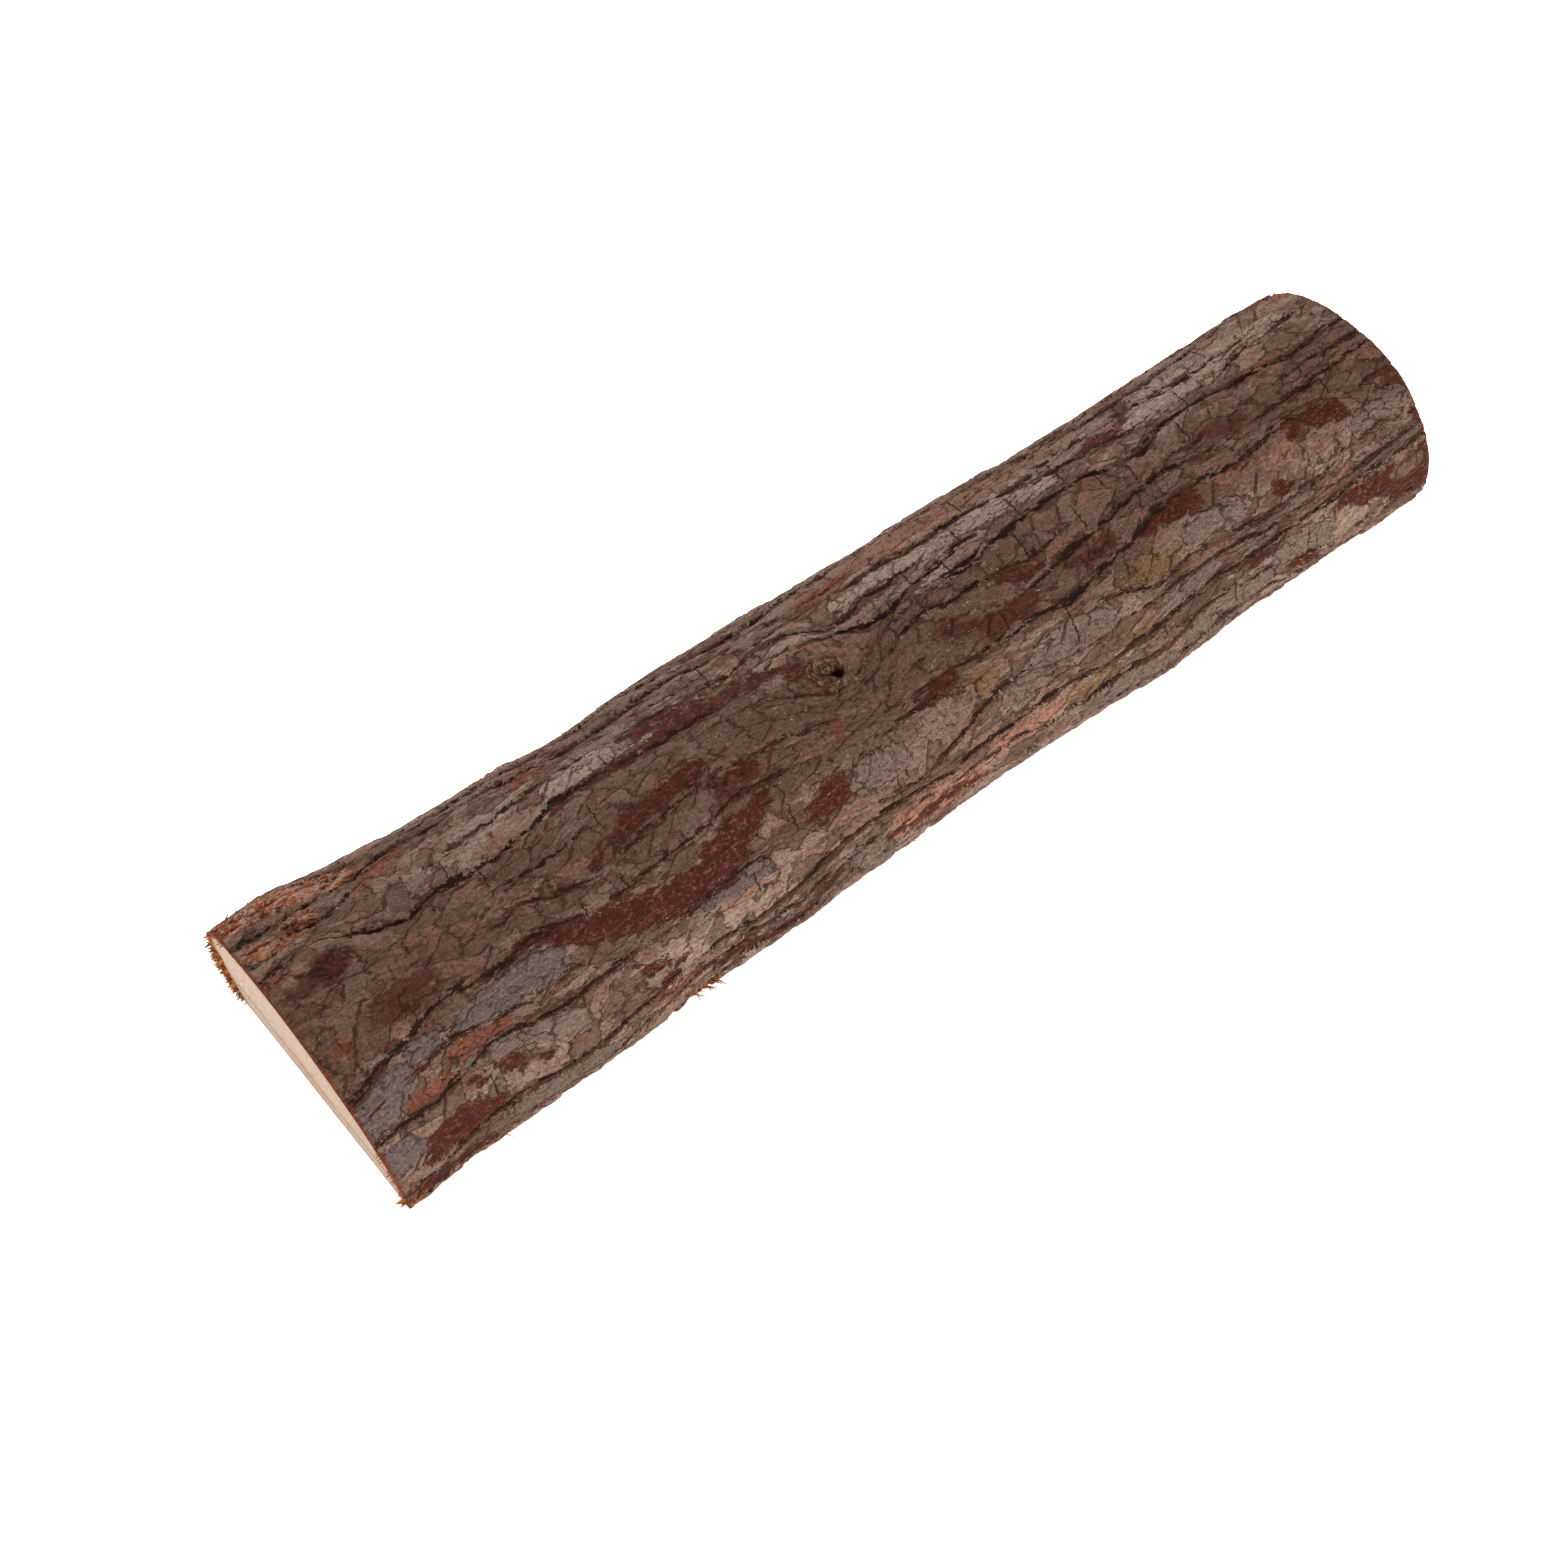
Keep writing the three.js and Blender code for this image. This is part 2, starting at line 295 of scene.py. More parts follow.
# ------------------------------------------------------------------------------------------------
# Worn and bare places. Plates that came away left red inner bark, and old flakes have weathered
# pale. LEFT_BEHIND are the flakes that still stand in the bare places. Each place is a chain of
# rounds: (mm along, mm of girth, radius).
# ------------------------------------------------------------------------------------------------
BARE = [
    [(60, 1.4, 0.5), (68, 1.4, 0.7), (80, 2, 1.3), (90, 2.6, 2), (100, 1.9, 1.5), (107, 1.2, 1.8),
     (112, 0, 1.5), (113.5, -3, 1.2), (116, -8, 0.9)],
    [(80, 6.3, 1.1), (86, 5.5, 1.6), (92, 5, 2), (97, 3.6, 1.4)],
    [(60, -12.6, 0.8), (66, -10.6, 1.2), (72, -9.3, 1.8), (80, -8.2, 2), (88, -7.3, 1.4)],
    [(41, -18, 0.5), (46, -18.6, 0.9), (49, -21, 1.8), (54, -22.7, 3), (60, -23.6, 3.5),
     (66, -25.6, 3.5), (72, -26.6, 3.8), (78, -25.6, 4), (84, -22.7, 3.8), (90, -20.7, 2.2),
     (94, -18.7, 1.2)],
    [(101, -26.8, 2.2), (105, -25.6, 3.3), (108, -24, 2)],
    [(92, -12.3, 0.9), (95, -12.8, 1.2)],
    [(129, -19.4, 1.5), (136, -19.6, 1.8)],
    [(155, -8.6, 0.7), (160, -10, 1.5), (164, -10.4, 0.8)],
    [(185, -15.6, 1.3), (191, -15.6, 2.1), (196, -15.6, 1.7), (198, -14.8, 0.9)],
    [(222, -12.4, 1.5), (222, -15, 2)],
    [(227, -14.6, 2.2), (231, -15.8, 2.4)],
    [(213, -23.4, 1.7)],
    [(224, -33.6, 1.8), (232, -35, 3.2), (240, -38.4, 5.4), (248, -38.4, 6.4)],
    [(187, 5.4, 0.9), (191, 6.4, 1.7), (196, 5.6, 1.1), (199, 8, 1), (201, 11, 1.4)],
    [(192, 14.3, 1), (196, 13.6, 0.9), (200, 15.6, 1.1)],
    [(29.3, -35.7, 2)],
    [(35, -39.4, 0.9)],
    [(8, -46.3, 2), (12, -43.3, 3.6), (18, -42.4, 4), (23, -43.4, 2.2)],
    [(2, -53.4, 1.8), (8, -53.2, 1.8), (14, -53.2, 1.6), (20, -53, 1)],
    [(21, -34.6, 1.2), (23, -36.2, 1)],
    [(57, -33.5, 0.9), (61, -37, 1.5), (65, -38.5, 1.3), (60, -41, 0.9)],
    [(72, -46.2, 1.4), (78, -45.6, 1.7), (84, -48.2, 1.6), (90, -48, 1.6), (96, -45.4, 1.7),
     (101, -43, 1.2)],
    [(113, -42.6, 1.2), (119, -43.6, 1.6), (129, -42.8, 1.5), (134, -45, 1.6)],
    [(202, -34.3, 1), (207, -34, 1)],
    [(212, -41.6, 1.5), (216, -43.4, 2), (219, -46, 1.3)],
    [(246, -24.4, 0.9), (250, -24, 0.9)],
    [(66, 25, 1.2), (80, 27, 2), (96, 26, 1.5)],
    [(140, 34, 1.6), (160, 36.5, 2.4), (176, 35, 1.4)],
    [(20, 38, 1.8), (34, 41, 2.6), (52, 40, 1.6)],
    [(206, 44, 2), (222, 46, 2.2), (240, 45, 1.8)],
    [(96, 49, 1.6), (114, 51, 2), (132, 50, 1.3)],
]
LEFT_BEHIND = [
    [(83.5, -45.9, 0.9), (87, -45.6, 0.7), (90, -45, 0.9), (92, -45.8, 0.7), (94, -44, 0.8)],
    [(230.5, -40, 2.4), (234, -40.6, 2)],
    [(238, -35.6, 1.4), (244, -35.4, 1.6)],
    [(78, 3.3, 0.35), (85, 3.1, 0.4)],
    [(226, -12.3, 0.6), (226.5, -11.8, 0.5)],
    [(67, -36.2, 1.6), (69, -36.8, 1)],
]
PALE = [
    [(0, -29.8, 4.2), (6, -28.4, 4.6), (11, -26.4, 3)],
    [(15, -23.6, 2), (18.5, -24.2, 2.2)],
    [(25, -24, 1.4), (31, -23.8, 2.6), (39, -23.3, 3.3), (45, -23.5, 2.7)],
    [(1, -41, 4), (6, -40.5, 2.8)],
    [(73, -30.4, 1.2), (80, -30.8, 1.6), (87, -30.8, 1.4)],
]
LIGHT_PLATES = [
    [(192, -21, 2), (198, -21.4, 2.6), (203, -21.6, 2)],
    [(198, 5, 2), (206, 5.4, 2.3), (213, 5.4, 2)],
    [(205, 11.4, 2.2), (212, 11.8, 2.8), (218, 12, 2.2)],
    [(232, 9.5, 1.8), (238, 9.8, 1.8)],
    [(202, -27.2, 1), (218, -27.4, 1.1)],
    [(200, -30.1, 0.8), (209, -30.2, 0.8)],
    [(232, -28.3, 1.8), (244, -28.6, 2)],
    [(210, -37.4, 3.4), (218, -38.2, 3.8)],
    [(187, -40.6, 4), (196, -41, 4.4), (203, -40.6, 3.8)],
    [(162, -44.6, 3.6), (170, -44.8, 4.6), (177, -44.4, 4)],
    [(105, -42, 3), (109, -46, 4.6), (110, -50, 3.6)],
    [(64, 4.8, 1.9), (70, 5, 2.3), (76, 4.8, 2)],
    [(78, 3.5, 0.8), (85, 3.4, 0.6)],
    [(111, -26.4, 2.6), (118, -26.2, 3)],
    [(84, -44.4, 1.2), (92, -44, 1.4)],
    [(129, 5.8, 1.6), (140, 6.4, 2), (152, 5.4, 2)],
    [(159, 5.6, 2), (166, 5.4, 2.2)],
    [(171, 4.6, 2), (177, 4.4, 2)],
    [(142, -0.6, 1), (149, -1.4, 1.4)],
    [(146, -29.6, 2.6), (158, -25.6, 3.4), (168, -26, 3)],
    [(234, -21, 2), (243, -20, 2.4)],
    [(20, -30.6, 1.6), (34, -33, 2.4), (44, -37, 2.4)],
    [(183, -29.6, 1.6), (192, -29.4, 1.8)],
    [(26, -48.4, 2.4), (34, -48.6, 3), (46, -49, 3)],
]
OLIVE = [
    [(171, -33.2, 1.4), (177, -33, 1.4)],
    [(180, -22.6, 2.4), (188, -22.7, 2.4)],
    [(142, -22.5, 2.2)],
    [(158, -38.6, 2), (166, -37.4, 1.6)],
]
PINKISH = [
    [(116, -42, 3.6), (124, -41.6, 4.4), (132, -41.8, 3.4)],
    [(139, -38, 2.4), (147, -38, 2.6), (154, -37.6, 2.2)],
    [(214, -17.6, 1.6), (220, -17.2, 1.6)],
    [(137, 14, 2.6), (145, 14, 3.2), (156, 14, 3.2), (170, 13.6, 2.4), (180, 12.6, 1.6)],
]
BEIGE = [
    [(162, -46, 4), (172, -45, 5), (183, -44, 4), (192, -41, 4), (202, -41, 3)],
    [(106, -44, 3.5), (110, -46, 3.5)],
    [(30, -49, 3), (45, -48, 3), (58, -49, 2)],
    [(213, -36, 3), (222, -38, 3)],
    [(140, 14, 3.2), (160, 14, 3.5), (178, 13, 2.5), (190, 12, 1.5)],
    [(232, 10, 3), (240, 14, 3.5)],
]
RUSTY = [
    [(25, 9, 1.2), (30, 12, 1.7), (35, 14.4, 1.6)],
    [(124, 12, 2), (130, 12, 2.6), (135, 13, 1.2)],
    [(10, -32.4, 1.2), (14, -31.8, 1.6), (17, -31, 1.2)],
    [(21, -28.6, 1.6), (26, -27.8, 1.7), (31, -28.4, 1.4)],
    [(13.5, -26.5, 0.9), (16, -28.2, 0.9)],
    [(112.4, -16.3, 1.7)],
    [(3, -17, 1), (6, -16.4, 1.2)],
    [(0, 1, 1.4), (6, 0.6, 1.4)],
    [(60, -45.4, 2), (66, -44.2, 1.8)],
    [(60, 12.5, 1.8), (66, 11.5, 1.4)],
    [(246, 16, 2.5), (240, 18.5, 1.6)],
    [(222, 0, 1), (228, -0.4, 0.8)],
    [(0, 30, 4), (12, 33, 4), (20, 28, 3)],
]
MOSSY = [
    [(117, -11, 3), (128, -12, 5), (140, -12, 4.5), (152, -9.5, 3), (158, -6, 2)],
    [(66, -20.6, 1), (74, -20.8, 1.5), (80, -19, 1)],
    [(54, -29.4, 2), (64, -30, 2.6), (70, -33, 2)],
    [(92, -7, 3), (102, -8, 3), (112, -12, 3)],
    [(178, -21, 3), (186, -25, 2)],
    [(176, -36.5, 3), (190, -34, 2), (200, -35.5, 1.4)],
    [(96, -19, 2.4), (112, -19.5, 2), (124, -22, 2.6)],
]
BRUISED = [
    [(15, -15, 2.4), (20, -14.6, 2.8), (25, -13.4, 2.2)],
    [(4, -4, 2), (12, -2.4, 2.4), (16, -3, 1.4)],
    [(140, -10.5, 1.2), (150, -15.5, 2.4), (158, -15, 2)],
    [(208, -6.6, 1.6), (214, -7, 1.6)],
    [(88, -14, 2.6), (94, -14, 2)],
    [(243, -17, 2.2), (247, -17, 2)],
    [(170, -14, 2), (178, -13, 1.6)],
]
SHAGGY = [
    [(-1, 23, 6), (8, 21.5, 5), (15, 18.5, 4.4), (21, 16, 3.4), (27, 17, 1.6)],
    [(3, 8.5, 2.6), (9, 8, 2.4), (14, 9.4, 2.2)],
    [(56, 25, 2.5), (66, 27, 2.5)],
    [(0, -57, 3), (10, -57.5, 2.4), (20, -57, 1.8)],
    [(66, -53, 2.4), (70, -54, 2)],
]
# Single cracks that run across the rows of plates: (mm along, from this girth, to this girth).
SPLITS = [
    (39, 4.2, -0.6), (155.8, 7, 2), (168.4, 6.6, 0.4), (179.9, 9.6, 0.4), (163.6, -1.6, -8.4),
    (176, -3.6, -9.4), (151.2, -13.6, -17.6), (162.4, -20, -26.6), (161.8, 16.4, 9.6),
    (142.2, 3.2, -0.4), (140.6, -1, -6.6), (177.5, -18, -21), (43.6, -2, -6), (33, -1.4, -4.6),
    (66.5, -2, -6.6), (54.6, -17, -20), (63.4, -16, -20.4), (84.4, -30, -35), (117.2, -29.6, -34.6),
    (74.6, 5.6, 1.4), (100.4, 12, 6), (107.8, 10, 5.4), (149.6, 1.6, -2.4), (204.2, -0.6, -6.4),
    (209.8, 6.6, 1.4), (222, 15.6, 10), (190.6, -1.8, -6.4), (184.6, 0, -4), (232.6, -9, -13),
    (132.8, -4, -8), (96.2, -23, -28), (215.4, -34, -40), (197, -34.6, -41), (24, -36, -43),
]  # fmt: skip


def how_far_in(places):
    """How far each point of the bark is inside the nearest of these places, less than 0 outside."""
    deepest = np.full(girth.shape, -6.0)
    for chain in places:
        chain = np.array(chain, float)
        for start, end in zip(chain, np.roll(chain, -1, axis=0)[:-1] if len(chain) > 1 else chain):
            span = end[:2] - start[:2]
            length = max(float(span @ span), 1e-9)
            part = ((along - start[0]) * span[0] + (girth - start[1]) * span[1]) / length
            part = part.clip(0, 1)
            off = np.hypot(along - start[0] - part * span[0], girth - start[1] - part * span[1])
            deepest = np.maximum(deepest, start[2] + part * (end[2] - start[2]) - off)
    return deepest


bare = np.minimum(how_far_in(BARE), -how_far_in(LEFT_BEHIND))
places = {
    "bare": bare,
    "pale": how_far_in(PALE),
    "plate": how_far_in(LIGHT_PLATES),
    "olive": how_far_in(OLIVE),
    "pinkish": how_far_in(PINKISH),
    "beige": how_far_in(BEIGE),
    "rusty": how_far_in(RUSTY),
    "mossy": how_far_in(MOSSY),
    "bruised": how_far_in(BRUISED),
    "shaggy": how_far_in(SHAGGY),
}

split_off = np.full(girth.shape, 3.0)
split_on = np.full(girth.shape, -3.0)
for place, top, bottom in SPLITS:
    off = along - place - 0.12 * (girth - (top + bottom) / 2)
    inside = np.minimum(top - girth, girth - bottom)
    nearer = (np.abs(off) < np.abs(split_off)) & (inside > -2.5) & (np.abs(off) < 3)
    split_off[nearer] = off[nearer]
    split_on[nearer] = inside[nearer]
places["split_off"], places["split_on"] = split_off, split_on

# ------------------------------------------------------------------------------------------------
# The log as one closed mesh: a fine grid over the bark, a coarser one over the sawn flat, and
# rings that close each cut end in to its pith. The bark's own map is kept on its points.
# ------------------------------------------------------------------------------------------------
flat_share = np.linspace(0, 1, FLAT_STEPS + 1)[1:-1]
first_edge, last_edge = bark_points[:, :1], bark_points[:, -1:]
flat_points = last_edge + (first_edge - last_edge) * flat_share[None, :, None]
loops = np.concatenate([bark_points, flat_points], axis=1)
loop_size = loops.shape[1]
ring_count = ALONG_STEPS + 1
points = [loops.reshape(-1, 3)]
quads = []
ring_index = np.arange(ring_count * loop_size).reshape(ring_count, loop_size)
next_index = np.roll(ring_index, -1, axis=1)
side = np.stack(
    [ring_index[:-1], next_index[:-1], next_index[1:], ring_index[1:]], axis=-1
)
quads.append(side.reshape(-1, 4))
on_flat = np.zeros((ALONG_STEPS, loop_size), int)
on_flat[:, BARK_STEPS:] = 2
slots = [on_flat.ravel()]

inward = RIM_STEP + (1 - RIM_STEP) * np.linspace(0, 1, END_RINGS) ** 1.15
inward = inward[:-1]
end_depths = []
triangles = []
total = ring_count * loop_size
for end_share, flip in ((0.0, False), (1.0, True)):
    rim_index = ring_index[0] if end_share == 0 else ring_index[-1]
    rim = loops[0] if end_share == 0 else loops[-1]
    pith = slanted(np.float64(end_share), np.float64(0), np.float64(PITH_HEIGHT))
    spokes = pith - rim
    inner = rim[None] + spokes[None] * inward[:, None, None]
    points += [inner.reshape(-1, 3), pith[None]]
    inner_index = total + np.arange(inner.shape[0] * loop_size).reshape(-1, loop_size)
    pith_index = total + inner.shape[0] * loop_size
    total = pith_index + 1
    stack = np.concatenate([rim_index[None], inner_index])
    after = np.roll(stack, -1, axis=1)
    cap = np.stack([stack[:-1], stack[1:], after[1:], after[:-1]], axis=-1).reshape(-1, 4)
    fan = np.stack([stack[-1], np.full(loop_size, pith_index), after[-1]], axis=-1)
    quads.append(cap[:, ::-1] if flip else cap)
    triangles.append(fan[:, ::-1] if flip else fan)
    slots.append(np.full(len(cap), 1))
    depth = np.linalg.norm(spokes, axis=-1)[None] * inward[:, None]
    end_depths.append(np.append(depth.ravel(), np.linalg.norm(spokes, axis=-1).mean()))

points = np.concatenate(points)
quads = np.concatenate(quads)
triangles = np.concatenate(triangles)
slots = np.concatenate([*slots, np.full(len(triangles), 1)])
log_mesh = bpy.data.meshes.new("log")
log_mesh.from_pydata((points * MM).tolist(), [], quads.tolist() + triangles.tolist())
log_mesh.update()
field = log_mesh.attributes.new("finish", "FLOAT", "FACE")
field.data.foreach_set("value", slots.astype(np.float32))
log_mesh.polygons.foreach_set("use_smooth", np.ones(len(slots), bool))


def keep_on_points(name, kind, values, elsewhere=0.0):
    """Stores values given on the bark's grid, and one value for every other point of the log."""
    size = 3 if kind == "FLOAT_VECTOR" else 1
    whole = np.full((len(points), size), elsewhere, np.float32)
    on_bark = ring_index[:, : BARK_STEPS + 1].ravel()
    whole[on_bark] = values.reshape(-1, size)
    field = log_mesh.attributes.new(name, kind, "POINT")
    field.data.foreach_set("vector" if size == 3 else "value", whole.ravel())


keep_on_points("bark_map", "FLOAT_VECTOR", np.stack([along, girth, flow], axis=-1))
keep_on_points("outward", "FLOAT_VECTOR", outward)
keep_on_points("row", "FLOAT", row)
keep_on_points("row_width", "FLOAT", row_width, 6.0)
keep_on_points("open", "FLOAT", open_here)
for name, field in places.items():
    keep_on_points(name, "FLOAT", field, -6.0)
into_wood = np.zeros(len(points), np.float32)
flat_width = np.linalg.norm(last_edge[:, 0] - first_edge[:, 0], axis=-1)
into_flat = np.minimum(flat_share, 1 - flat_share)[None, :] * flat_width[:, None]
into_wood[ring_index[:, BARK_STEPS + 1 :].ravel()] = into_flat.ravel()
into_wood[ring_index[[0, -1]].ravel()] = 0
into_wood[ring_count * loop_size :] = np.concatenate(end_depths)
field = log_mesh.attributes.new("into_wood", "FLOAT", "POINT")
field.data.foreach_set("value", into_wood)

edge_ends = np.zeros(len(log_mesh.edges) * 2, np.int32)
log_mesh.edges.foreach_get("vertices", edge_ends)
edge_ends = edge_ends.reshape(-1, 2)
ring_of = np.full(len(points), -1)
ring_of[: ring_count * loop_size] = np.arange(ring_count * loop_size) // loop_size
step_of = np.full(len(points), -1)
step_of[: ring_count * loop_size] = np.arange(ring_count * loop_size) % loop_size
both_ring, both_step = ring_of[edge_ends], step_of[edge_ends]
around_cut = (both_ring == 0).all(axis=1) | (both_ring == ALONG_STEPS).all(axis=1)
along_flat = (both_step == 0).all(axis=1) | (both_step == BARK_STEPS).all(axis=1)
log_mesh.edges.foreach_set("use_edge_sharp", around_cut | along_flat)


# ------------------------------------------------------------------------------------------------
# How the bark's layers lie. The same rule raises the mesh, where the layers are thick, and paints
# and roughens its surface, where they are fine, so it is written once for both kinds of node tree.
# ------------------------------------------------------------------------------------------------
def add(tree, kind, settings, sockets, output=0):
    """Adds a node with its settings, sets or links its sockets, and returns one of its outputs."""
    node = tree.nodes.new(kind)
    for name, value in settings.items():
        setattr(node, name, value)
    pairs = sockets.items() if isinstance(sockets, dict) else enumerate(sockets)
    for name, value in pairs:
        if isinstance(value, Wire):
            tree.links.new(value.socket, node.inputs[name])
        else:
            node.inputs[name].default_value = value
    return Wire(node.outputs[output])


class Wire:
    """A node's output. Sums written with it in Python add Math nodes to its tree."""

    def __init__(self, socket):
        self.socket = socket
        self.tree = socket.id_data

    def math(self, operation, *others):
        return add(self.tree, "ShaderNodeMath", {"operation": operation}, [self, *others])

    def __add__(self, other):
        return self.math("ADD", other)

    def __radd__(self, other):
        return self.math("ADD", other)

    def __sub__(self, other):
        return self.math("SUBTRACT", other)

    def __rsub__(self, other):
        return add(self.tree, "ShaderNodeMath", {"operation": "SUBTRACT"}, [other, self])

    def __mul__(self, other):
        return self.math("MULTIPLY", other)

    def __rmul__(self, other):
        return self.math("MULTIPLY", other)

    def __truediv__(self, other):
        return self.math("DIVIDE", other)

    def rise(self, start, end):
        """0 before start, 1 after end and eased between them. It falls if end is the lower."""
        settings = {"interpolation_type": "SMOOTHSTEP"}
        return add(self.tree, "ShaderNodeMapRange", settings, [self, start, end, 0.0, 1.0])

    def least(self, other):
        return self.math("MINIMUM", other)

    def most(self, other):
        return self.math("MAXIMUM", other)

    def part(self, axis=0):
        return add(self.tree, "ShaderNodeSeparateXYZ", {}, [self], axis)

    def scaled(self, amount):
        settings = {"operation": "SCALE"}
        return add(self.tree, "ShaderNodeVectorMath", settings, {0: self, 3: amount})

    def length(self):
        return add(self.tree, "ShaderNodeVectorMath", {"operation": "LENGTH"}, [self], 1)


def vector(x, y, z=0.0):
    return add(x.tree, "ShaderNodeCombineXYZ", {}, [x, y, z])


def noise(x, y, z, detail=2.0, roughness=0.5):
    """Smooth noise from 0 to 1. Where z is one number, it keeps this noise unlike the others."""
    where = vector(x, y, z)
    sockets = {"Vector": where, "Scale": 1.0, "Detail": detail, "Roughness": roughness}
    return add(where.tree, "ShaderNodeTexNoise", {"noise_dimensions": "3D"}, sockets)


def luck(first, second):
    """The same random number from 0 to 1 wherever these two whole numbers are the same."""
    where = vector(first, second)
    return add(where.tree, "ShaderNodeTexWhiteNoise", {"noise_dimensions": "2D"}, [where])


def shader_reader(tree):
    def read(name, kind="Fac"):
        return add(tree, "ShaderNodeAttribute", {"attribute_name": name}, {}, kind)

    return read


def geometry_reader(tree):
    def read(name, kind="Fac"):
        settings = {"data_type": "FLOAT_VECTOR" if kind == "Vector" else "FLOAT"}
        return add(tree, "GeometryNodeInputNamedAttribute", settings, {"Name": name})

    return read


KNOT = (117.6, -5.2)  # mm along and mm of girth, as for the furrows
KNOT_HOLE = (119.1, -7.1)
BURR = (12.3, -2.5)
PLATE_LENGTH = 13.0
CHIP_LENGTH, CHIP_WIDTH = 2.3, 1.25
FLAKE_LENGTH, FLAKE_WIDTH = 6.4, 3.1


def cells(where, wanted="Color", feature="F1"):
    """Two-dimensional Voronoi cells: a colour for each, or the distance to its centre or edge."""
    settings = {"voronoi_dimensions": "2D", "feature": feature}
    sockets = {"Vector": where, "Scale": 1.0}
    return add(where.tree, "ShaderNodeTexVoronoi", settings, sockets, wanted)


def bark_layers(read, edge):
    """Where each layer and mark of the bark lies, and how high the bark stands, in millimetres.

    An edge between two layers is spread over this distance to each side, in millimetres. x and g
    are the distances along and round the log, and f is g with the grain's bends taken out.
    """
    place = read("bark_map", "Vector")
    x, g, f = (place.part(axis) for axis in range(3))

    def distance_from(spot, stretch):
        return vector((x - spot[0]) * stretch, g - spot[1]).length()

    bend = noise(x * 0.11, f * 0.22, 3.0, 2) - 0.5
    ragged = noise(x * 0.38, f * 0.7, 7.0, 3, 0.6) - 0.5
    fine = noise(x * 1.5, f * 2.2, 11.0, 3, 0.65) - 0.5
    uneven = noise(x * 0.16, f * 0.4, 17.0, 2)
    chip_x = (x + ragged * 3.2 + fine * 0.8) / CHIP_LENGTH
    chip_f = (f + ragged * 2.2 + fine * 0.8) / CHIP_WIDTH
    chip_luck = cells(vector(chip_x, chip_f)).part() - 0.5

    # The furrows, jagged, and beside each a shoulder that the outermost layer has broken off.
    width = read("row_width")
    openness = read("open")
    row_now = read("row") + (bend * 2.0 + ragged * 2.8 + fine * 1.7 + chip_luck * 0.8) / width
    furrow = row_now.math("ROUND")
    from_furrow = (row_now - furrow).math("ABSOLUTE") * width
    there = (uneven * 1.3 + openness).rise(0.9, 1.05)
    gap = from_furrow - openness * (uneven * 1.7 + chip_luck * 0.4 - 0.46).most(0.0)
    in_gap = gap.rise(edge, -edge) * there
    broken_off = noise(x * 0.13, f * 0.3, 19.0, 2).rise(0.46, 0.62) * 1.2
    shoulder = from_furrow - openness * (broken_off + chip_luck * 0.8 + 0.42)
    in_shoulder = shoulder.rise(edge, -edge) * there

    # Hair cracks across each row, and through the thin surface of the plates.
    which_row = row_now.math("FLOOR")
    row_luck = luck(which_row, 5.0)
    skew = bend * 7.0 + ragged * 4.5 + fine * 1.6 + chip_luck * 0.8
    plate_size = row_luck * 8.0 + PLATE_LENGTH
    plate_place = (x + skew) / plate_size + row_luck * 37.0
    crack = plate_place.math("ROUND")
    crack_luck = luck(which_row, crack)
    from_crack = (plate_place - crack).math("ABSOLUTE") * plate_size
    cross_there = (crack_luck + uneven * 0.8).rise(0.78, 0.9)
    in_cross = (from_crack - uneven * 0.22).rise(edge, -edge) * cross_there
    plate_luck = luck(which_row + 40.0, plate_place.math("FLOOR"))
    split_far = (read("split_off") + ragged * 1.8 + fine * 0.9).math("ABSOLUTE")
    split_there = (read("split_on") + ragged * 3).rise(-0.3, 0.3)
    in_split = (split_far - 0.17).rise(edge, -edge) * split_there
    in_cross = in_cross.most(in_split)

    # Thin flakes have come off some plates. Their edges are scalloped.
    flake_x = (x + bend * 5.0 + ragged * 4.0 + fine * 1.2) / FLAKE_LENGTH
    flake_f = (f + bend * 4.0 + ragged * 2.6 + fine * 0.9) / FLAKE_WIDTH
    flake_place = vector(flake_x, flake_f)
    flake_luck = cells(flake_place).part()
    flake_edge = cells(flake_place, "Distance", "DISTANCE_TO_EDGE")
    flaky = noise(x * 0.07, f * 0.16, 23.0, 2)
    waver = bend * 14.0
    band = (g + waver).rise(6.5, 2.5) * (g + waver).rise(-22.0, -16.0)
    lost = flake_luck * 0.6 + (flaky - 0.5) * 1.3 + chip_luck * 0.34 + band * 0.12
    lost = lost + g.rise(-20.0, -26.0) * 0.08
    thin = lost.rise(0.36 - edge * 0.15, 0.36 + edge * 0.15)
    split_place = vector((x + ragged * 2 + fine) / 3.4, (f + ragged * 2 + fine) / 2.9, 5.0)
    split = cells(split_place, "Distance", "DISTANCE_TO_EDGE")
    hair_there = noise(x * 0.2, g * 0.28, 29.0, 2).rise(0.53, 0.62)
    in_hair = split.rise(0.06, 0.012) * hair_there
    rim_there = noise(x * 0.16, g * 0.24, 33.0, 2).rise(0.5, 0.58)
    # in_rim marks the flake edges: a shallow groove that the bark's colour paints dark as shadow.
    in_rim = flake_edge.rise(0.08, 0.035) * rim_there.most(thin * 0.8)
    vein = noise(x * 0.36, f * 0.8, 61.0, 3, 0.55) - 0.5
    in_vein = vein.math("ABSOLUTE").rise(0.02, 0.006) * (1.0 - rim_there)

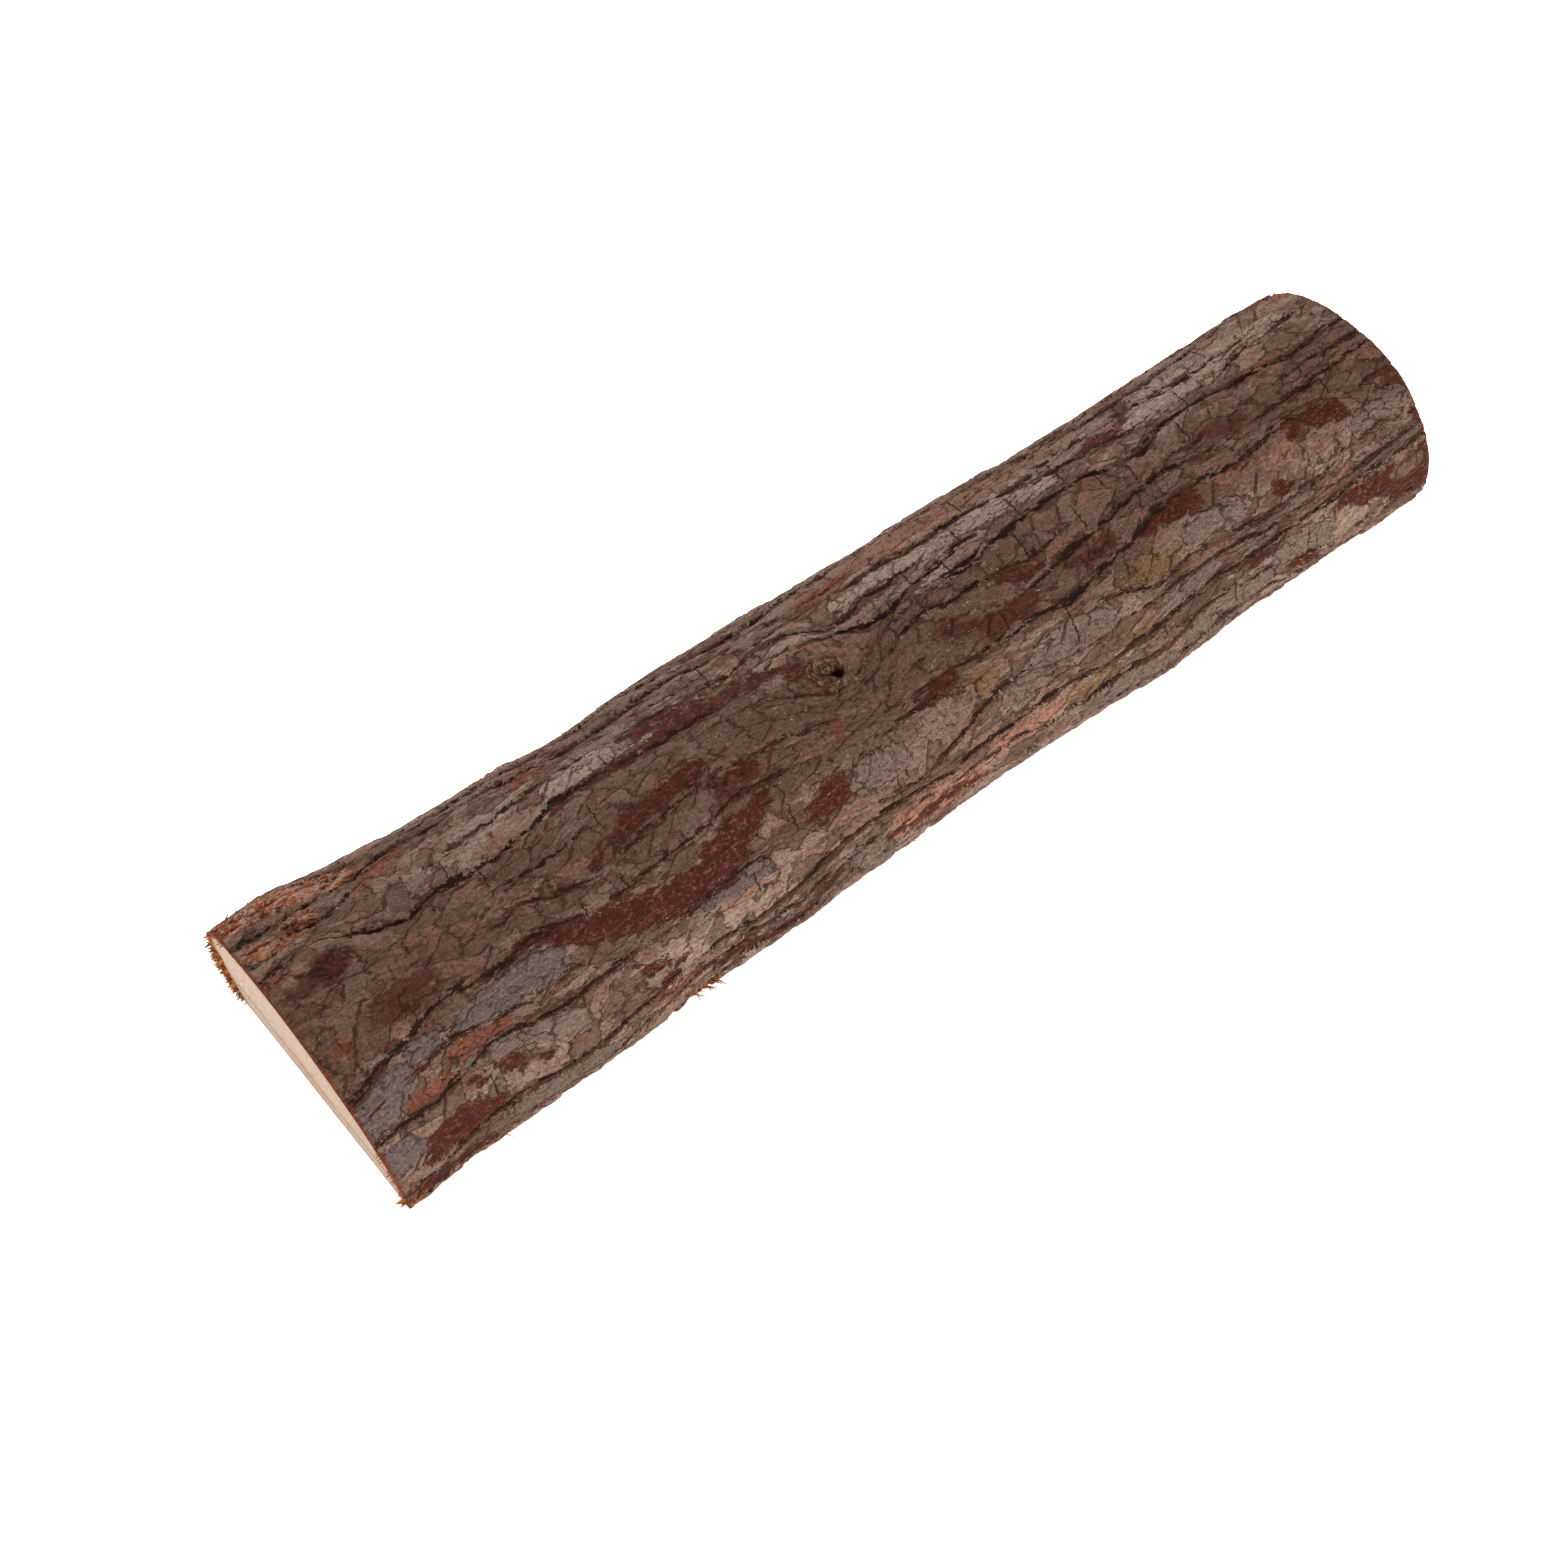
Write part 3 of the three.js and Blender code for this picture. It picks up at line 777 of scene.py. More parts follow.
    # Bare and pale places have the same chipped edges as the plates.
    nibble = chip_luck * 1.5 + ragged * 2.8 + fine * 1.6
    drag = noise(x * 0.22, f * 1.1, 71.0, 3, 0.6) - 0.5
    bare_edge = read("bare") + nibble + bend * 2.0 + drag * 4.0
    is_bare = bare_edge.rise(-edge, edge)
    is_pale = (read("pale") + nibble * 0.9).rise(-edge, edge)
    plate_edge = (read("plate") + nibble).most(read("pale") + nibble * 0.9)
    is_plate = plate_edge.rise(-edge, edge)
    # Painted shadow: a dark line round the light and pale plates, along their raised edges.
    outline = plate_edge.rise(-0.42, -0.2) * plate_edge.rise(0.02, -0.12)
    thin = thin * (1.0 - is_plate)
    shaggy = (read("shaggy") + nibble * 1.2).rise(-1.2, 1.0)

    knot_far = distance_from(KNOT, 0.8) + ragged * 2.4 + fine
    burr_far = distance_from(BURR, 0.75) + ragged * 4.0 + fine * 2
    hole_far = distance_from(KNOT_HOLE, 1.0) + ragged * 1.2 + fine * 0.5
    knot = knot_far.rise(4.4, 3.6)
    knot_rings = (knot_far * 6.5 + bend * 9.0 + ragged * 5.0).math("SINE") * 0.5 + 0.5
    hole = hole_far.rise(1.35, 0.75)
    burr = burr_far.rise(3.1, 2.1)

    shag = noise(x * 0.1 + bend * 1.5, f * 0.5 + ragged * 1.3 - x * 0.035, 47.0, 5, 0.68) - 0.5
    shag_ridge = 1.0 - (shag.math("ABSOLUTE") * 9.0).least(1.0)

    cover = (1.0 - is_bare.most(in_shoulder * 0.85)) * (1.0 - shaggy)
    bulky = g.rise(6.0, 20.0).most(g.rise(-34.0, -46.0)) * 0.7 + 0.55
    height = cover * (plate_luck * 0.2 + 0.3) - thin * cover * 0.2 + is_plate * 0.16
    height = height - (in_hair * 0.12 + in_rim * 0.14 + in_vein * 0.12 + in_cross * 0.3) * cover
    height = height - in_gap * (openness * 0.55 + 0.1)
    height = (height + bend * 0.8 + ragged * 0.5) * bulky + fine * 0.15
    height = height + shaggy * (shag * 5.0 + shag_ridge * 0.35 + 0.2)
    height = height + knot * ((knot_far.rise(0.6, 2.6) * 0.7 - 0.2) + knot_rings * 0.3)
    height = height - hole * 1.8 + burr * (shag * 3.4 + 0.25)
    return SimpleNamespace(
        x=x, g=g, f=f, bend=bend, ragged=ragged, fine=fine, chip_luck=chip_luck, openness=openness,
        in_gap=in_gap, in_shoulder=in_shoulder, in_cross=in_cross, in_hair=in_hair, in_rim=in_rim,
        in_vein=in_vein, band=band, plate_luck=plate_luck, thin=thin, flake_luck=flake_luck,
        bare_edge=bare_edge, is_pale=is_pale, is_plate=is_plate, outline=outline, shaggy=shaggy,
        shag=shag, knot_far=knot_far, knot_rings=knot_rings, hole=hole, burr=burr, cover=cover,
        height=height,
    )  # fmt: skip


def new_geometry_tree(name, number, kind):
    """A node tree that works on a mesh, with one more input: a number of this name and kind."""
    tree = bpy.data.node_groups.new(name, "GeometryNodeTree")
    tree.interface.new_socket("Mesh", in_out="INPUT", socket_type="NodeSocketGeometry")
    number = tree.interface.new_socket(number, in_out="INPUT", socket_type=kind)
    tree.interface.new_socket("Mesh", in_out="OUTPUT", socket_type="NodeSocketGeometry")
    given = tree.nodes.new("NodeGroupInput")
    return tree, number.identifier, Wire(given.outputs[0]), Wire(given.outputs[1])


MESH_EDGE = 0.3  # the mesh's steps are too coarse for a sharper edge
relief, relief_input, plain_log, relief_unit = new_geometry_tree(
    "bark relief", "Millimetre", "NodeSocketFloat"
)
read = geometry_reader(relief)
lift = read("outward", "Vector").scaled(bark_layers(read, MESH_EDGE).height * relief_unit)
position = add(relief, "GeometryNodeInputPosition", {}, {})
position = add(relief, "ShaderNodeVectorMath", {"operation": "ADD"}, [position, lift])
above_floor = [position, (-1.0, -1.0, 0.0)]
position = add(relief, "ShaderNodeVectorMath", {"operation": "MAXIMUM"}, above_floor)
raised_log = {"Geometry": plain_log, "Position": position}
raised_log = add(relief, "GeometryNodeSetPosition", {}, raised_log)

# ------------------------------------------------------------------------------------------------
# The bark's surface. Dry outer bark is dull grey-brown and dusty, inner bark is red-brown and
# velvety, and the furrows and cracks are dark, partly their own dark and partly painted shade.
# ------------------------------------------------------------------------------------------------
def srgb(red, green, blue):
    """A colour as a painter's chart gives it, from 0 to 255, in the light's own numbers."""
    part = np.array([red, green, blue]) / 255
    return tuple(np.where(part <= 0.04045, part / 12.92, ((part + 0.055) / 1.055) ** 2.4).tolist())


def mix(first, second, amount):
    first, second = (v if isinstance(v, Wire) else (*srgb(*v), 1.0) for v in (first, second))
    sockets = {0: amount, 6: first, 7: second}
    return add(amount.tree, "ShaderNodeMix", {"data_type": "RGBA"}, sockets, 2)


def new_finish(name):
    finish = bpy.data.materials.new(name)
    finish.use_nodes = True
    return finish, finish.node_tree, shader_reader(finish.node_tree)


def shade(base, height, unit, strength, roughness, gloss):
    """Gives a finish its colour and its bump, whose height is in this unit of length."""
    tree = base.tree
    shader = tree.nodes["Principled BSDF"]
    bump = {"Height": height, "Distance": unit, "Strength": strength}
    bump = add(tree, "ShaderNodeBump", {}, bump)
    tree.links.new(base.socket, shader.inputs["Base Color"])
    tree.links.new(bump.socket, shader.inputs["Normal"])
    shader.inputs["Roughness"].default_value = roughness
    shader.inputs["Specular IOR Level"].default_value = gloss


CROWN_PLATE = (118, 99, 87)
BAND_PLATE = (96, 73, 62)
LOW_PLATE = (113, 90, 78)
# Lighter partly as painted light: the lower -Y flank is lit by the low lamp.
FLANK_PLATE_AND_LIGHT = (130, 107, 93)
PLATE_WARM = (104, 67, 52)
PLATE_DARK = (82, 60, 51)
GROUND = (66, 43, 32)
LIGHT_PLATE = (122, 104, 93)
LIGHT_PLATE_LOW = (91, 77, 69)
BEIGE_BARK = (124, 99, 82)
PALE_GREY = (84, 71, 68)
PINKISH_BARK = (120, 84, 68)
PINKISH_LOW_AND_LIGHT = (144, 99, 80)
OLIVE_GOLD = (98, 72, 42)
INNER_RED = (60, 24, 16)
INNER_DARK = (32, 14, 10)
INNER_BRIGHT = (92, 42, 27)
SHOULDER_BROWN = (58, 35, 25)
FURROW_DARK = (30, 17, 12)
RUST = (97, 48, 29)
MOSS = (74, 57, 41)
BRUISE = (64, 28, 19)
SPECK_AND_GLINT = (186, 172, 156)
SHAG_DARK = (36, 18, 10)
SHAG_LIGHT = (144, 98, 62)
CUT_EDGE = (92, 46, 26)
SHADER_EDGE = 0.07

bark_finish, tree, read = new_finish("dry bark")
layers = bark_layers(read, SHADER_EDGE)
x, g, f = layers.x, layers.g, layers.f
ragged, fine, chip_luck = layers.ragged, layers.fine, layers.chip_luck
grain = noise(x * 0.55, f * 2.6, 31.0, 4, 0.65) - 0.5
cloud = noise(x * 0.09, g * 0.16, 37.0, 3, 0.6)
grit = noise(x * 1.15, g * 1.5, 41.0, 4, 0.78) - 0.5
dust = noise(x * 3.1, g * 3.5, 45.0, 2, 0.6) - 0.5
streak = noise(x * 0.3, f * 1.7, 43.0, 3, 0.6)
blotch = noise(x * 0.5, g * 0.7, 53.0, 4, 0.6)


def patch(name, low_edge=-0.7, high_edge=0.3):
    """Where this kind of place shows, with chipped and blotchy edges."""
    inside = read(name) + chip_luck * 1.6 + ragged * 3.4 + (blotch - 0.5) * 5.0
    return inside.rise(low_edge, high_edge)


# The plates' greys, by their place round the log, and what has weathered or stained them. Low on
# the -Y flank they are lighter, partly a dustier grey and partly painted light from the low lamp.
waver = layers.bend * 12.0 + g
skin = mix(BAND_PLATE, CROWN_PLATE, waver.rise(-2.5, 2.5))
skin = mix(skin, LOW_PLATE, waver.rise(-17.0, -21.0))
skin = mix(skin, FLANK_PLATE_AND_LIGHT, waver.rise(-31.0, -37.0))
skin = mix(skin, PLATE_DARK, layers.plate_luck.rise(0.3, 1.0) * 0.4)
skin = mix(skin, PLATE_WARM, cloud.rise(0.47, 0.6) * 0.55)
skin = mix(skin, BEIGE_BARK, patch("beige", -2.2, 1.0) * 0.7)
ground = mix(GROUND, MOSS, blotch.rise(0.4, 0.6))
skin = mix(skin, ground, layers.thin * 0.68)
skin = mix(skin, MOSS, patch("mossy", -1.2, 1.0) * 0.6)
skin = mix(skin, BRUISE, patch("bruised", -1.0, 0.8) * 0.82)
# The pinkish bark is lighter low on the -Y flank: painted light from the low lamp.
pinkish = mix(PINKISH_BARK, PINKISH_LOW_AND_LIGHT, g.rise(-35.0, -42.0))
skin = mix(skin, pinkish, patch("pinkish", -1.2, 0.8) * 0.75)
skin = mix(skin, OLIVE_GOLD, patch("olive", -1.2, 0.8) * 0.6)
light_plate = mix(LIGHT_PLATE_LOW, LIGHT_PLATE, g.rise(-12.0, -2.0))
skin = mix(skin, light_plate, layers.is_plate * 0.74)
skin = mix(skin, GROUND, waver.rise(9.0, 13.0) * waver.rise(25.0, 18.0) * 0.4)
skin = mix(skin, GROUND, x.rise(75.0, 15.0) * 0.2)
skin = mix(skin, PALE_GREY, layers.is_pale * 0.85)

# The brown shoulders beside the furrows, and the red inner bark, with a painted shadow along its
# edge.
grainy = streak + grit * 2.2
inner = mix(INNER_RED, INNER_DARK, grainy.rise(0.45, 0.6) * 0.8)
inner = mix(inner, INNER_BRIGHT, (blotch + grit * 2.0).rise(0.52, 0.68) * 0.55)
beside = mix(SHOULDER_BROWN, BRUISE, blotch.rise(0.48, 0.62) * 0.8)
beside = mix(beside, MOSS, blotch.rise(0.46, 0.38) * 0.7)
skin = mix(skin, beside, layers.in_shoulder * 0.88)
skin = mix(skin, RUST, patch("rusty", -0.7, 0.7) * 0.66)
left_on = (blotch + grit * 1.4 + chip_luck * 0.1).rise(0.6, 0.64) * 0.22
shown = (layers.bare_edge + grit * 5.0).rise(-0.2, 0.2) * (0.97 - left_on)
skin = mix(skin, inner, shown)
shadow_under_plate = layers.bare_edge.rise(-0.05, 0.05) * layers.bare_edge.rise(0.5, 0.15)
skin = mix(skin, FURROW_DARK, shadow_under_plate * 0.45)

# The shaggy bark at the butt, the burr and the knot. The shag and the burr are painted dark down
# in their hollows, as painted shade, and the shag light on its raised fibres, as painted highlight.
shag_colour = mix(SHAG_DARK, RUST, (layers.shag + grit * 0.4).rise(-0.1, 0.0))
lit_shag = (layers.shag + grit * 0.5).rise(0.02, 0.12) * 0.75
shag_colour = mix(shag_colour, SHAG_LIGHT, lit_shag)
crusted = (blotch + chip_luck * 0.2).rise(0.52, 0.56) * 0.75
shag_colour = mix(shag_colour, CROWN_PLATE, crusted)
skin = mix(skin, shag_colour, layers.shaggy)
burred = mix(BRUISE, SHAG_DARK, (layers.shag + grit).rise(0.02, -0.06))
skin = mix(skin, burred, layers.burr * 0.9)
ringed = mix(MOSS, SHAG_LIGHT, (blotch + grit).rise(0.5, 0.6) * 0.6)
ringed = mix(ringed, SHAG_DARK, layers.knot_rings.rise(0.35, 0.9) * 0.85)
skin = mix(skin, ringed, layers.knot_far.rise(3.8, 2.2) * 0.8)

# The furrows, cracks and knot hole painted dark, partly their own dark and partly painted shade,
# the plate and flake edges painted dark as shadow, the rim that the saw left, and dust over
# everything.
skin = mix(skin, FURROW_DARK, layers.in_gap * (layers.openness * 0.2 + 0.78))
cracks = (layers.in_cross * 0.95).most(layers.in_hair * 0.45).most(layers.outline * 0.9)
smoother = 1.0 - layers.band * 0.6
cracks = cracks.most(layers.in_rim * 0.75).most(layers.in_vein * smoother * 0.55)
skin = mix(skin, FURROW_DARK, cracks * layers.cover)
skin = mix(skin, FURROW_DARK, layers.hole)
sawn_edge = (x + ragged * 1.8 + fine * 1.4).rise(0.85, 0.4)
sawn_edge = sawn_edge.most((x + ragged * 2).rise(LENGTH - 0.7, LENGTH - 0.2) * 0.7)
skin = mix(skin, CUT_EDGE, sawn_edge * 0.9)
tone = grain * 1.4 + grit * 2.6 + dust * 1.5 + chip_luck * 0.12
tone = (tone + (layers.flake_luck - 0.5) * 0.14 + 1.04).most(0.2)
skin = skin.scaled(tone)
# Light specks over the plates, partly pale specks and partly painted glints of light.
speck_place = vector(x * 0.9 + fine * 3.0, g * 0.9 + ragged * 3.0, 59.0)
speck_luck = cells(speck_place).part() + patch("mossy", -2.0, 1.0) * 0.13
speck_and_glint = cells(speck_place, "Distance").rise(0.16, 0.05) * speck_luck.rise(0.975, 0.99)
skin = mix(skin, SPECK_AND_GLINT, speck_and_glint * 0.55)
height = layers.height + grain * 0.6 + grit * 1.5 + dust * 0.5 + speck_and_glint * 0.15
shade(skin, height, MM, strength=0.9, roughness=0.9, gloss=0.06)

# ------------------------------------------------------------------------------------------------
# The cut ends: pale sapwood with growth rings round the pith, a darker heart, a shake that runs
# across through the pith, saw marks, and the cut edge of the bark all round the outside.
# ------------------------------------------------------------------------------------------------
SAPWOOD = (176, 153, 134)
SAPWOOD_LATE = (164, 134, 108)
HEARTWOOD = (176, 142, 112)
SHAKE_BROWN = (96, 58, 36)
CUT_BARK = (138, 74, 42)
CUT_BARK_DARK = (74, 40, 24)
CUT_BARK_GOLD = (176, 118, 66)
RING_WIDTH = 2.1
HEART_RADIUS = 8.5


def place_in_mm(tree):
    here = add(tree, "ShaderNodeTexCoord", {}, {}, "Object")
    return (here.part(axis) / MM for axis in range(3))


end_finish, tree, read = new_finish("sawn end")
x, y, z = place_in_mm(tree)
y = y - PITH_START[1]
z = z - PITH_HEIGHT
warp = noise(y * 0.12, z * 0.12, x * 0.02, 3, 0.5) - 0.5
speckle = noise(y * 2.4, z * 2.4, x * 0.05, 3, 0.7) - 0.5
from_pith = vector(y, z).length()
age = (from_pith + warp * 5.0) / RING_WIDTH
in_ring = age - age.math("FLOOR")
late = in_ring.rise(0.45, 0.9) * in_ring.rise(1.0, 0.93)
bearing = y.math("ARCTAN2", z)
rays = noise(bearing * 26.0, from_pith * 0.12, 3.0, 3, 0.7) - 0.5
saw = noise(y * 0.05 + z * 0.7, y * 2.2 - z * 0.2, 9.0, 2) - 0.5
wood = mix(SAPWOOD, SAPWOOD_LATE, late * 0.6)
in_heart = (from_pith + warp * 8.0).rise(HEART_RADIUS, HEART_RADIUS - 2.5)
wood = mix(wood, HEARTWOOD, in_heart * 0.7)
shake_line = z + warp * 7.0 - y * 0.02
shake_flecks = noise(y * 0.5, z * 1.6, 13.0, 4, 0.7)
shake = shake_line.math("ABSOLUTE").rise(2.6, 0.4) * shake_flecks.rise(0.47, 0.56)
wood = mix(wood, SHAKE_BROWN, shake * 0.85)
check_place = bearing * 1.35 + warp * 0.8
check = (check_place - check_place.math("ROUND")).math("ABSOLUTE") * from_pith
in_check = check.rise(0.14, 0.04) * from_pith.rise(24.0, 6.0)
wood = mix(wood, SHAKE_BROWN, in_check * 0.8)
pores = noise(y * 3.6, z * 3.6, 21.0, 2, 0.5)
wood = mix(wood, SHAKE_BROWN, pores.rise(0.57, 0.66) * 0.6)
flecks = noise(y * 1.5, z * 1.1, 27.0, 3, 0.6)
wood = mix(wood, SHAKE_BROWN, flecks.rise(0.53, 0.6) * 0.55)
wood = wood.scaled(rays * 0.5 + speckle * 0.9 + saw * 0.35 + 1.0)
rim = read("into_wood")
thick = y.rise(12.0, 26.0) * z.rise(22.0, 2.0) * (x.rise(20.0, -20.0) * 4.2 + 0.6)
thick = thick + y.rise(-18.0, -29.0) * z.rise(8.0, -6.0) * 1.3
in_rim = (rim - thick + speckle * 1.6 + warp * 1.2).rise(1.0, 0.75)
cut_bark = mix(CUT_BARK, CUT_BARK_DARK, (speckle + rays).rise(-0.02, 0.2))
cut_bark = mix(cut_bark, CUT_BARK_GOLD, (rim + speckle * 3).rise(0.9, 2.2) * 0.8)
wood = mix(wood, cut_bark, in_rim)
height = speckle * 0.3 + saw * 0.25 + late * 0.1 - shake * 0.3 - in_check * 0.5
height = height + in_rim * (speckle * 1.6 + rays * 0.8)
shade(wood, height, MM, strength=0.7, roughness=0.82, gloss=0.3)

# ------------------------------------------------------------------------------------------------
# The sawn flat underneath: long grain, the fine ridges the saw left across it, and a thin edge of
# bark along both sides.
# ------------------------------------------------------------------------------------------------
FLAT_WOOD = (218, 188, 158)
FLAT_LATE = (186, 144, 110)
GRAIN_PITCH = 3.1

flat_finish, tree, read = new_finish("sawn flat")
x, y, _ = place_in_mm(tree)
drift = noise(x * 0.012, y * 0.05, 3.0, 3, 0.5) - 0.5
band = (y + drift * 16.0) / GRAIN_PITCH
in_band = band - band.math("FLOOR")
late = in_band.rise(0.3, 0.85) * in_band.rise(1.0, 0.93)
fibre = noise(x * 0.09, y * 3.0, 5.0, 4, 0.7) - 0.5
saw = noise(x * 0.9 + y * 0.05, y * 0.03, 7.0, 3, 0.6) - 0.5
wood = mix(FLAT_WOOD, FLAT_LATE, late * 0.55)
from_heart = (y - PITH_START[1] + drift * 10.0).math("ABSOLUTE")
wood = mix(wood, HEARTWOOD, from_heart.rise(9.0, 4.0) * 0.4)
wood = wood.scaled(fibre * 0.7 + saw * 0.35 + 1.0)
in_rim = (read("into_wood") + fibre * 1.6 + drift * 1.5).rise(1.3, 0.9)
cut_bark = mix(CUT_BARK, CUT_BARK_DARK, fibre.rise(-0.02, 0.2))
wood = mix(wood, cut_bark, in_rim)
shade(wood, fibre * 0.5 + saw * 0.6 + in_rim * fibre, MM, strength=0.6, roughness=0.82, gloss=0.3)


def grown(name, mesh, tree, number, value, geometry):
    """Ends a tree in this geometry, runs it over a mesh, and keeps what it makes as a piece."""
    result = tree.nodes.new("NodeGroupOutput")
    tree.links.new(geometry.socket, result.inputs[0])
    rough = bpy.data.objects.new(name + "_rough", mesh)
    bpy.context.scene.collection.objects.link(rough)
    modifier = rough.modifiers.new(tree.name, "NODES")
    modifier.node_group = tree
    modifier[number] = value
    bpy.context.view_layer.update()
    worked_out = bpy.context.evaluated_depsgraph_get()
    finished_mesh = bpy.data.meshes.new_from_object(
        rough.evaluated_get(worked_out), preserve_all_data_layers=True, depsgraph=worked_out
    )
    bpy.data.objects.remove(rough)
    piece = bpy.data.objects.new(name, finished_mesh)
    bpy.context.scene.collection.objects.link(piece)
    return piece


finished_log = add(relief, "GeometryNodeRealizeInstances", {}, [raised_log])
which = geometry_reader(relief)("finish")
for number, finish in enumerate((bark_finish, end_finish, flat_finish)):
    chosen = which.math("COMPARE", float(number), 0.5)
    covered = {"Geometry": finished_log, "Selection": chosen, "Material": finish}
    finished_log = add(relief, "GeometryNodeSetMaterial", {}, covered)
bark_log = grown("half_log", log_mesh, relief, relief_input, MM, finished_log)
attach(bark_log, "root")
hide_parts("log")

# ------------------------------------------------------------------------------------------------
# Torn fibres. Where the saw tore the bark, stiff fibres of it stand off the rims of both cut ends
# and off both lower edges. Each is a thin tapered sliver, and its foot is sunk in the bark.
# ------------------------------------------------------------------------------------------------
# (mm along, mm of girth, spread of each, how many, length, lean out and along, depth of the foot)
TORN = [
    (0.5, 49, 0.3, 11, 300, 1.7, -0.1, -1, 4.6),
    (0.7, 36, 0.8, 9, 60, 1.8, 0.1, -0.9, 1.6),
    (1.6, 24, 1.4, 6, 44, 1.6, 0.3, -0.8, 0.6),
    (5, 22, 4, 6, 50, 3.2, 0.25, 0.9, 0.4),
    (14, 17, 8, 6, 40, 2.6, 0.2, 0.95, 0.4),
    (0.4, -45, 0.4, 9, 30, 1, 0.2, -0.8, 1),
    (0.6, -56, 0.5, 3, 40, 1.8, 0.3, -0.9, 1.6),
    (21, -55, 3, 2, 18, 2.6, 0.6, 0.8, 0.4),
    (68, -53, 3, 2, 24, 3.4, 0.7, 0.6, 0.4),
    (115, -50, 6, 2, 12, 2, 0.4, 0.9, 0.4),
    (54, 24, 9, 3, 24, 2.6, 0.4, 0.9, 0.4),
    (84, 25, 9, 3, 16, 2, 0.4, 0.9, 0.4),
    (246, -4, 0.4, 34, 34, 0.7, 0.3, 0.5, 0.4),
    (214, -44, 12, 2, 12, 1.8, 0.4, 0.9, 0.4),
    (120, 48, 90, 6, 40, 2, 0.4, 0.9, 0.4),
]
FIBRE_SIDES = 5
FOOT_RADIUS = 0.5  # of a fibre that is 1 mm across at its foot
TIP_RADIUS = 0.06
FIBRE_GOLD = (158, 98, 50)
FIBRE_BROWN = (104, 52, 26)
FIBRE_ACROSS = (0.25, 0.95)
FIBRE_TILT = 0.42  # how far a fibre strays from its lean
FOOT_HEIGHT = 0.6
TIP_HEIGHT = 0.5

fibre_feet = []
fibre_ways = []
fibre_sizes = []
for place, middle, spread, round_spread, count, reach, lean_out, lean_along, depth in TORN:
    for _ in range(count):
        foot_x = min(max(place + chance.uniform(-spread, spread), 0.15), LENGTH - 0.15)
        foot_girth = middle + chance.uniform(-round_spread, round_spread)
        ring = round(foot_x / LENGTH * ALONG_STEPS)
        step = int(np.abs(girth[ring] - foot_girth).argmin())
        out = outward[ring, step]
        tilt = chance.normal(0, FIBRE_TILT, 3)
        way = out * lean_out + np.array([lean_along, 0, -0.15]) + tilt
        way /= np.linalg.norm(way)
        foot = bark_points[ring, step] - out * chance.uniform(0.3, depth)
        foot[0] += foot_x - ring / ALONG_STEPS * LENGTH
        length = reach * chance.uniform(0.45, 1.3)
        foot[2] = max(foot[2], FOOT_HEIGHT)
        if foot[2] + way[2] * length < TIP_HEIGHT:
            way[2] = abs(way[2])
        fibre_feet.append(foot)
        fibre_ways.append(way)
        across = chance.uniform(*FIBRE_ACROSS)
        fibre_sizes.append((across, across * 0.6, length))

feet = bpy.data.meshes.new("fibre feet")
feet.from_pydata((np.array(fibre_feet) * MM).tolist(), [], [])
for name, values in (("way", fibre_ways), ("size", fibre_sizes)):
    field = feet.attributes.new(name, "FLOAT_VECTOR", "POINT")
    field.data.foreach_set("vector", np.array(values, np.float32).ravel())

fibre_finish, tree, read = new_finish("torn fibre")
x, y, z = place_in_mm(tree)
patchy = noise(x * 0.8, y * 0.8, z * 0.8, 3, 0.6)
threads = noise(x * 1.5, y * 5.0, z * 5.0, 2, 0.6)
torn = mix(FIBRE_BROWN, FIBRE_GOLD, patchy.rise(0.42, 0.6))
torn = mix(torn, SHAG_DARK, threads.rise(0.52, 0.66) * 0.7)
shade(torn, threads, 0.2 * MM, strength=0.8, roughness=0.85, gloss=0.15)

fringe, sides_input, foot_points, sides = new_geometry_tree(
    "fringe of fibres", "Sides", "NodeSocketInt"
)
read = geometry_reader(fringe)
sliver = {
    "Vertices": sides, "Side Segments": 3,
    "Radius Top": TIP_RADIUS * MM, "Radius Bottom": FOOT_RADIUS * MM, "Depth": MM,
}  # fmt: skip
sliver = add(fringe, "GeometryNodeMeshCone", {}, sliver)
turned = {"Vector": read("way", "Vector")}
turned = add(fringe, "FunctionNodeAlignRotationToVector", {"axis": "Z"}, turned)
stood = {
    "Points": foot_points, "Instance": sliver,
    "Rotation": turned, "Scale": read("size", "Vector"),
}  # fmt: skip
stood = add(fringe, "GeometryNodeInstanceOnPoints", {}, stood)
stood = add(fringe, "GeometryNodeRealizeInstances", {}, [stood])
stood = add(fringe, "GeometryNodeSetMaterial", {}, {"Geometry": stood, "Material": fibre_finish})
torn_fibres = grown("torn_fibres", feet, fringe, sides_input, FIBRE_SIDES, stood)
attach(torn_fibres, "root")

# ------------------------------------------------------------------------------------------------
# The studio: a plain pale floor that glows a little, a big soft lamp on each side of the log and a
# dim one above. The camera looks down on the log from beyond its butt.
# ------------------------------------------------------------------------------------------------
FLOOR_REACH = 3.0
PAPER = (0.9, 0.9, 0.9, 1)
WHITE = (1, 1, 1, 1)
PAPER_GLOW = 0.42
ROOM_LIGHT = 0.2

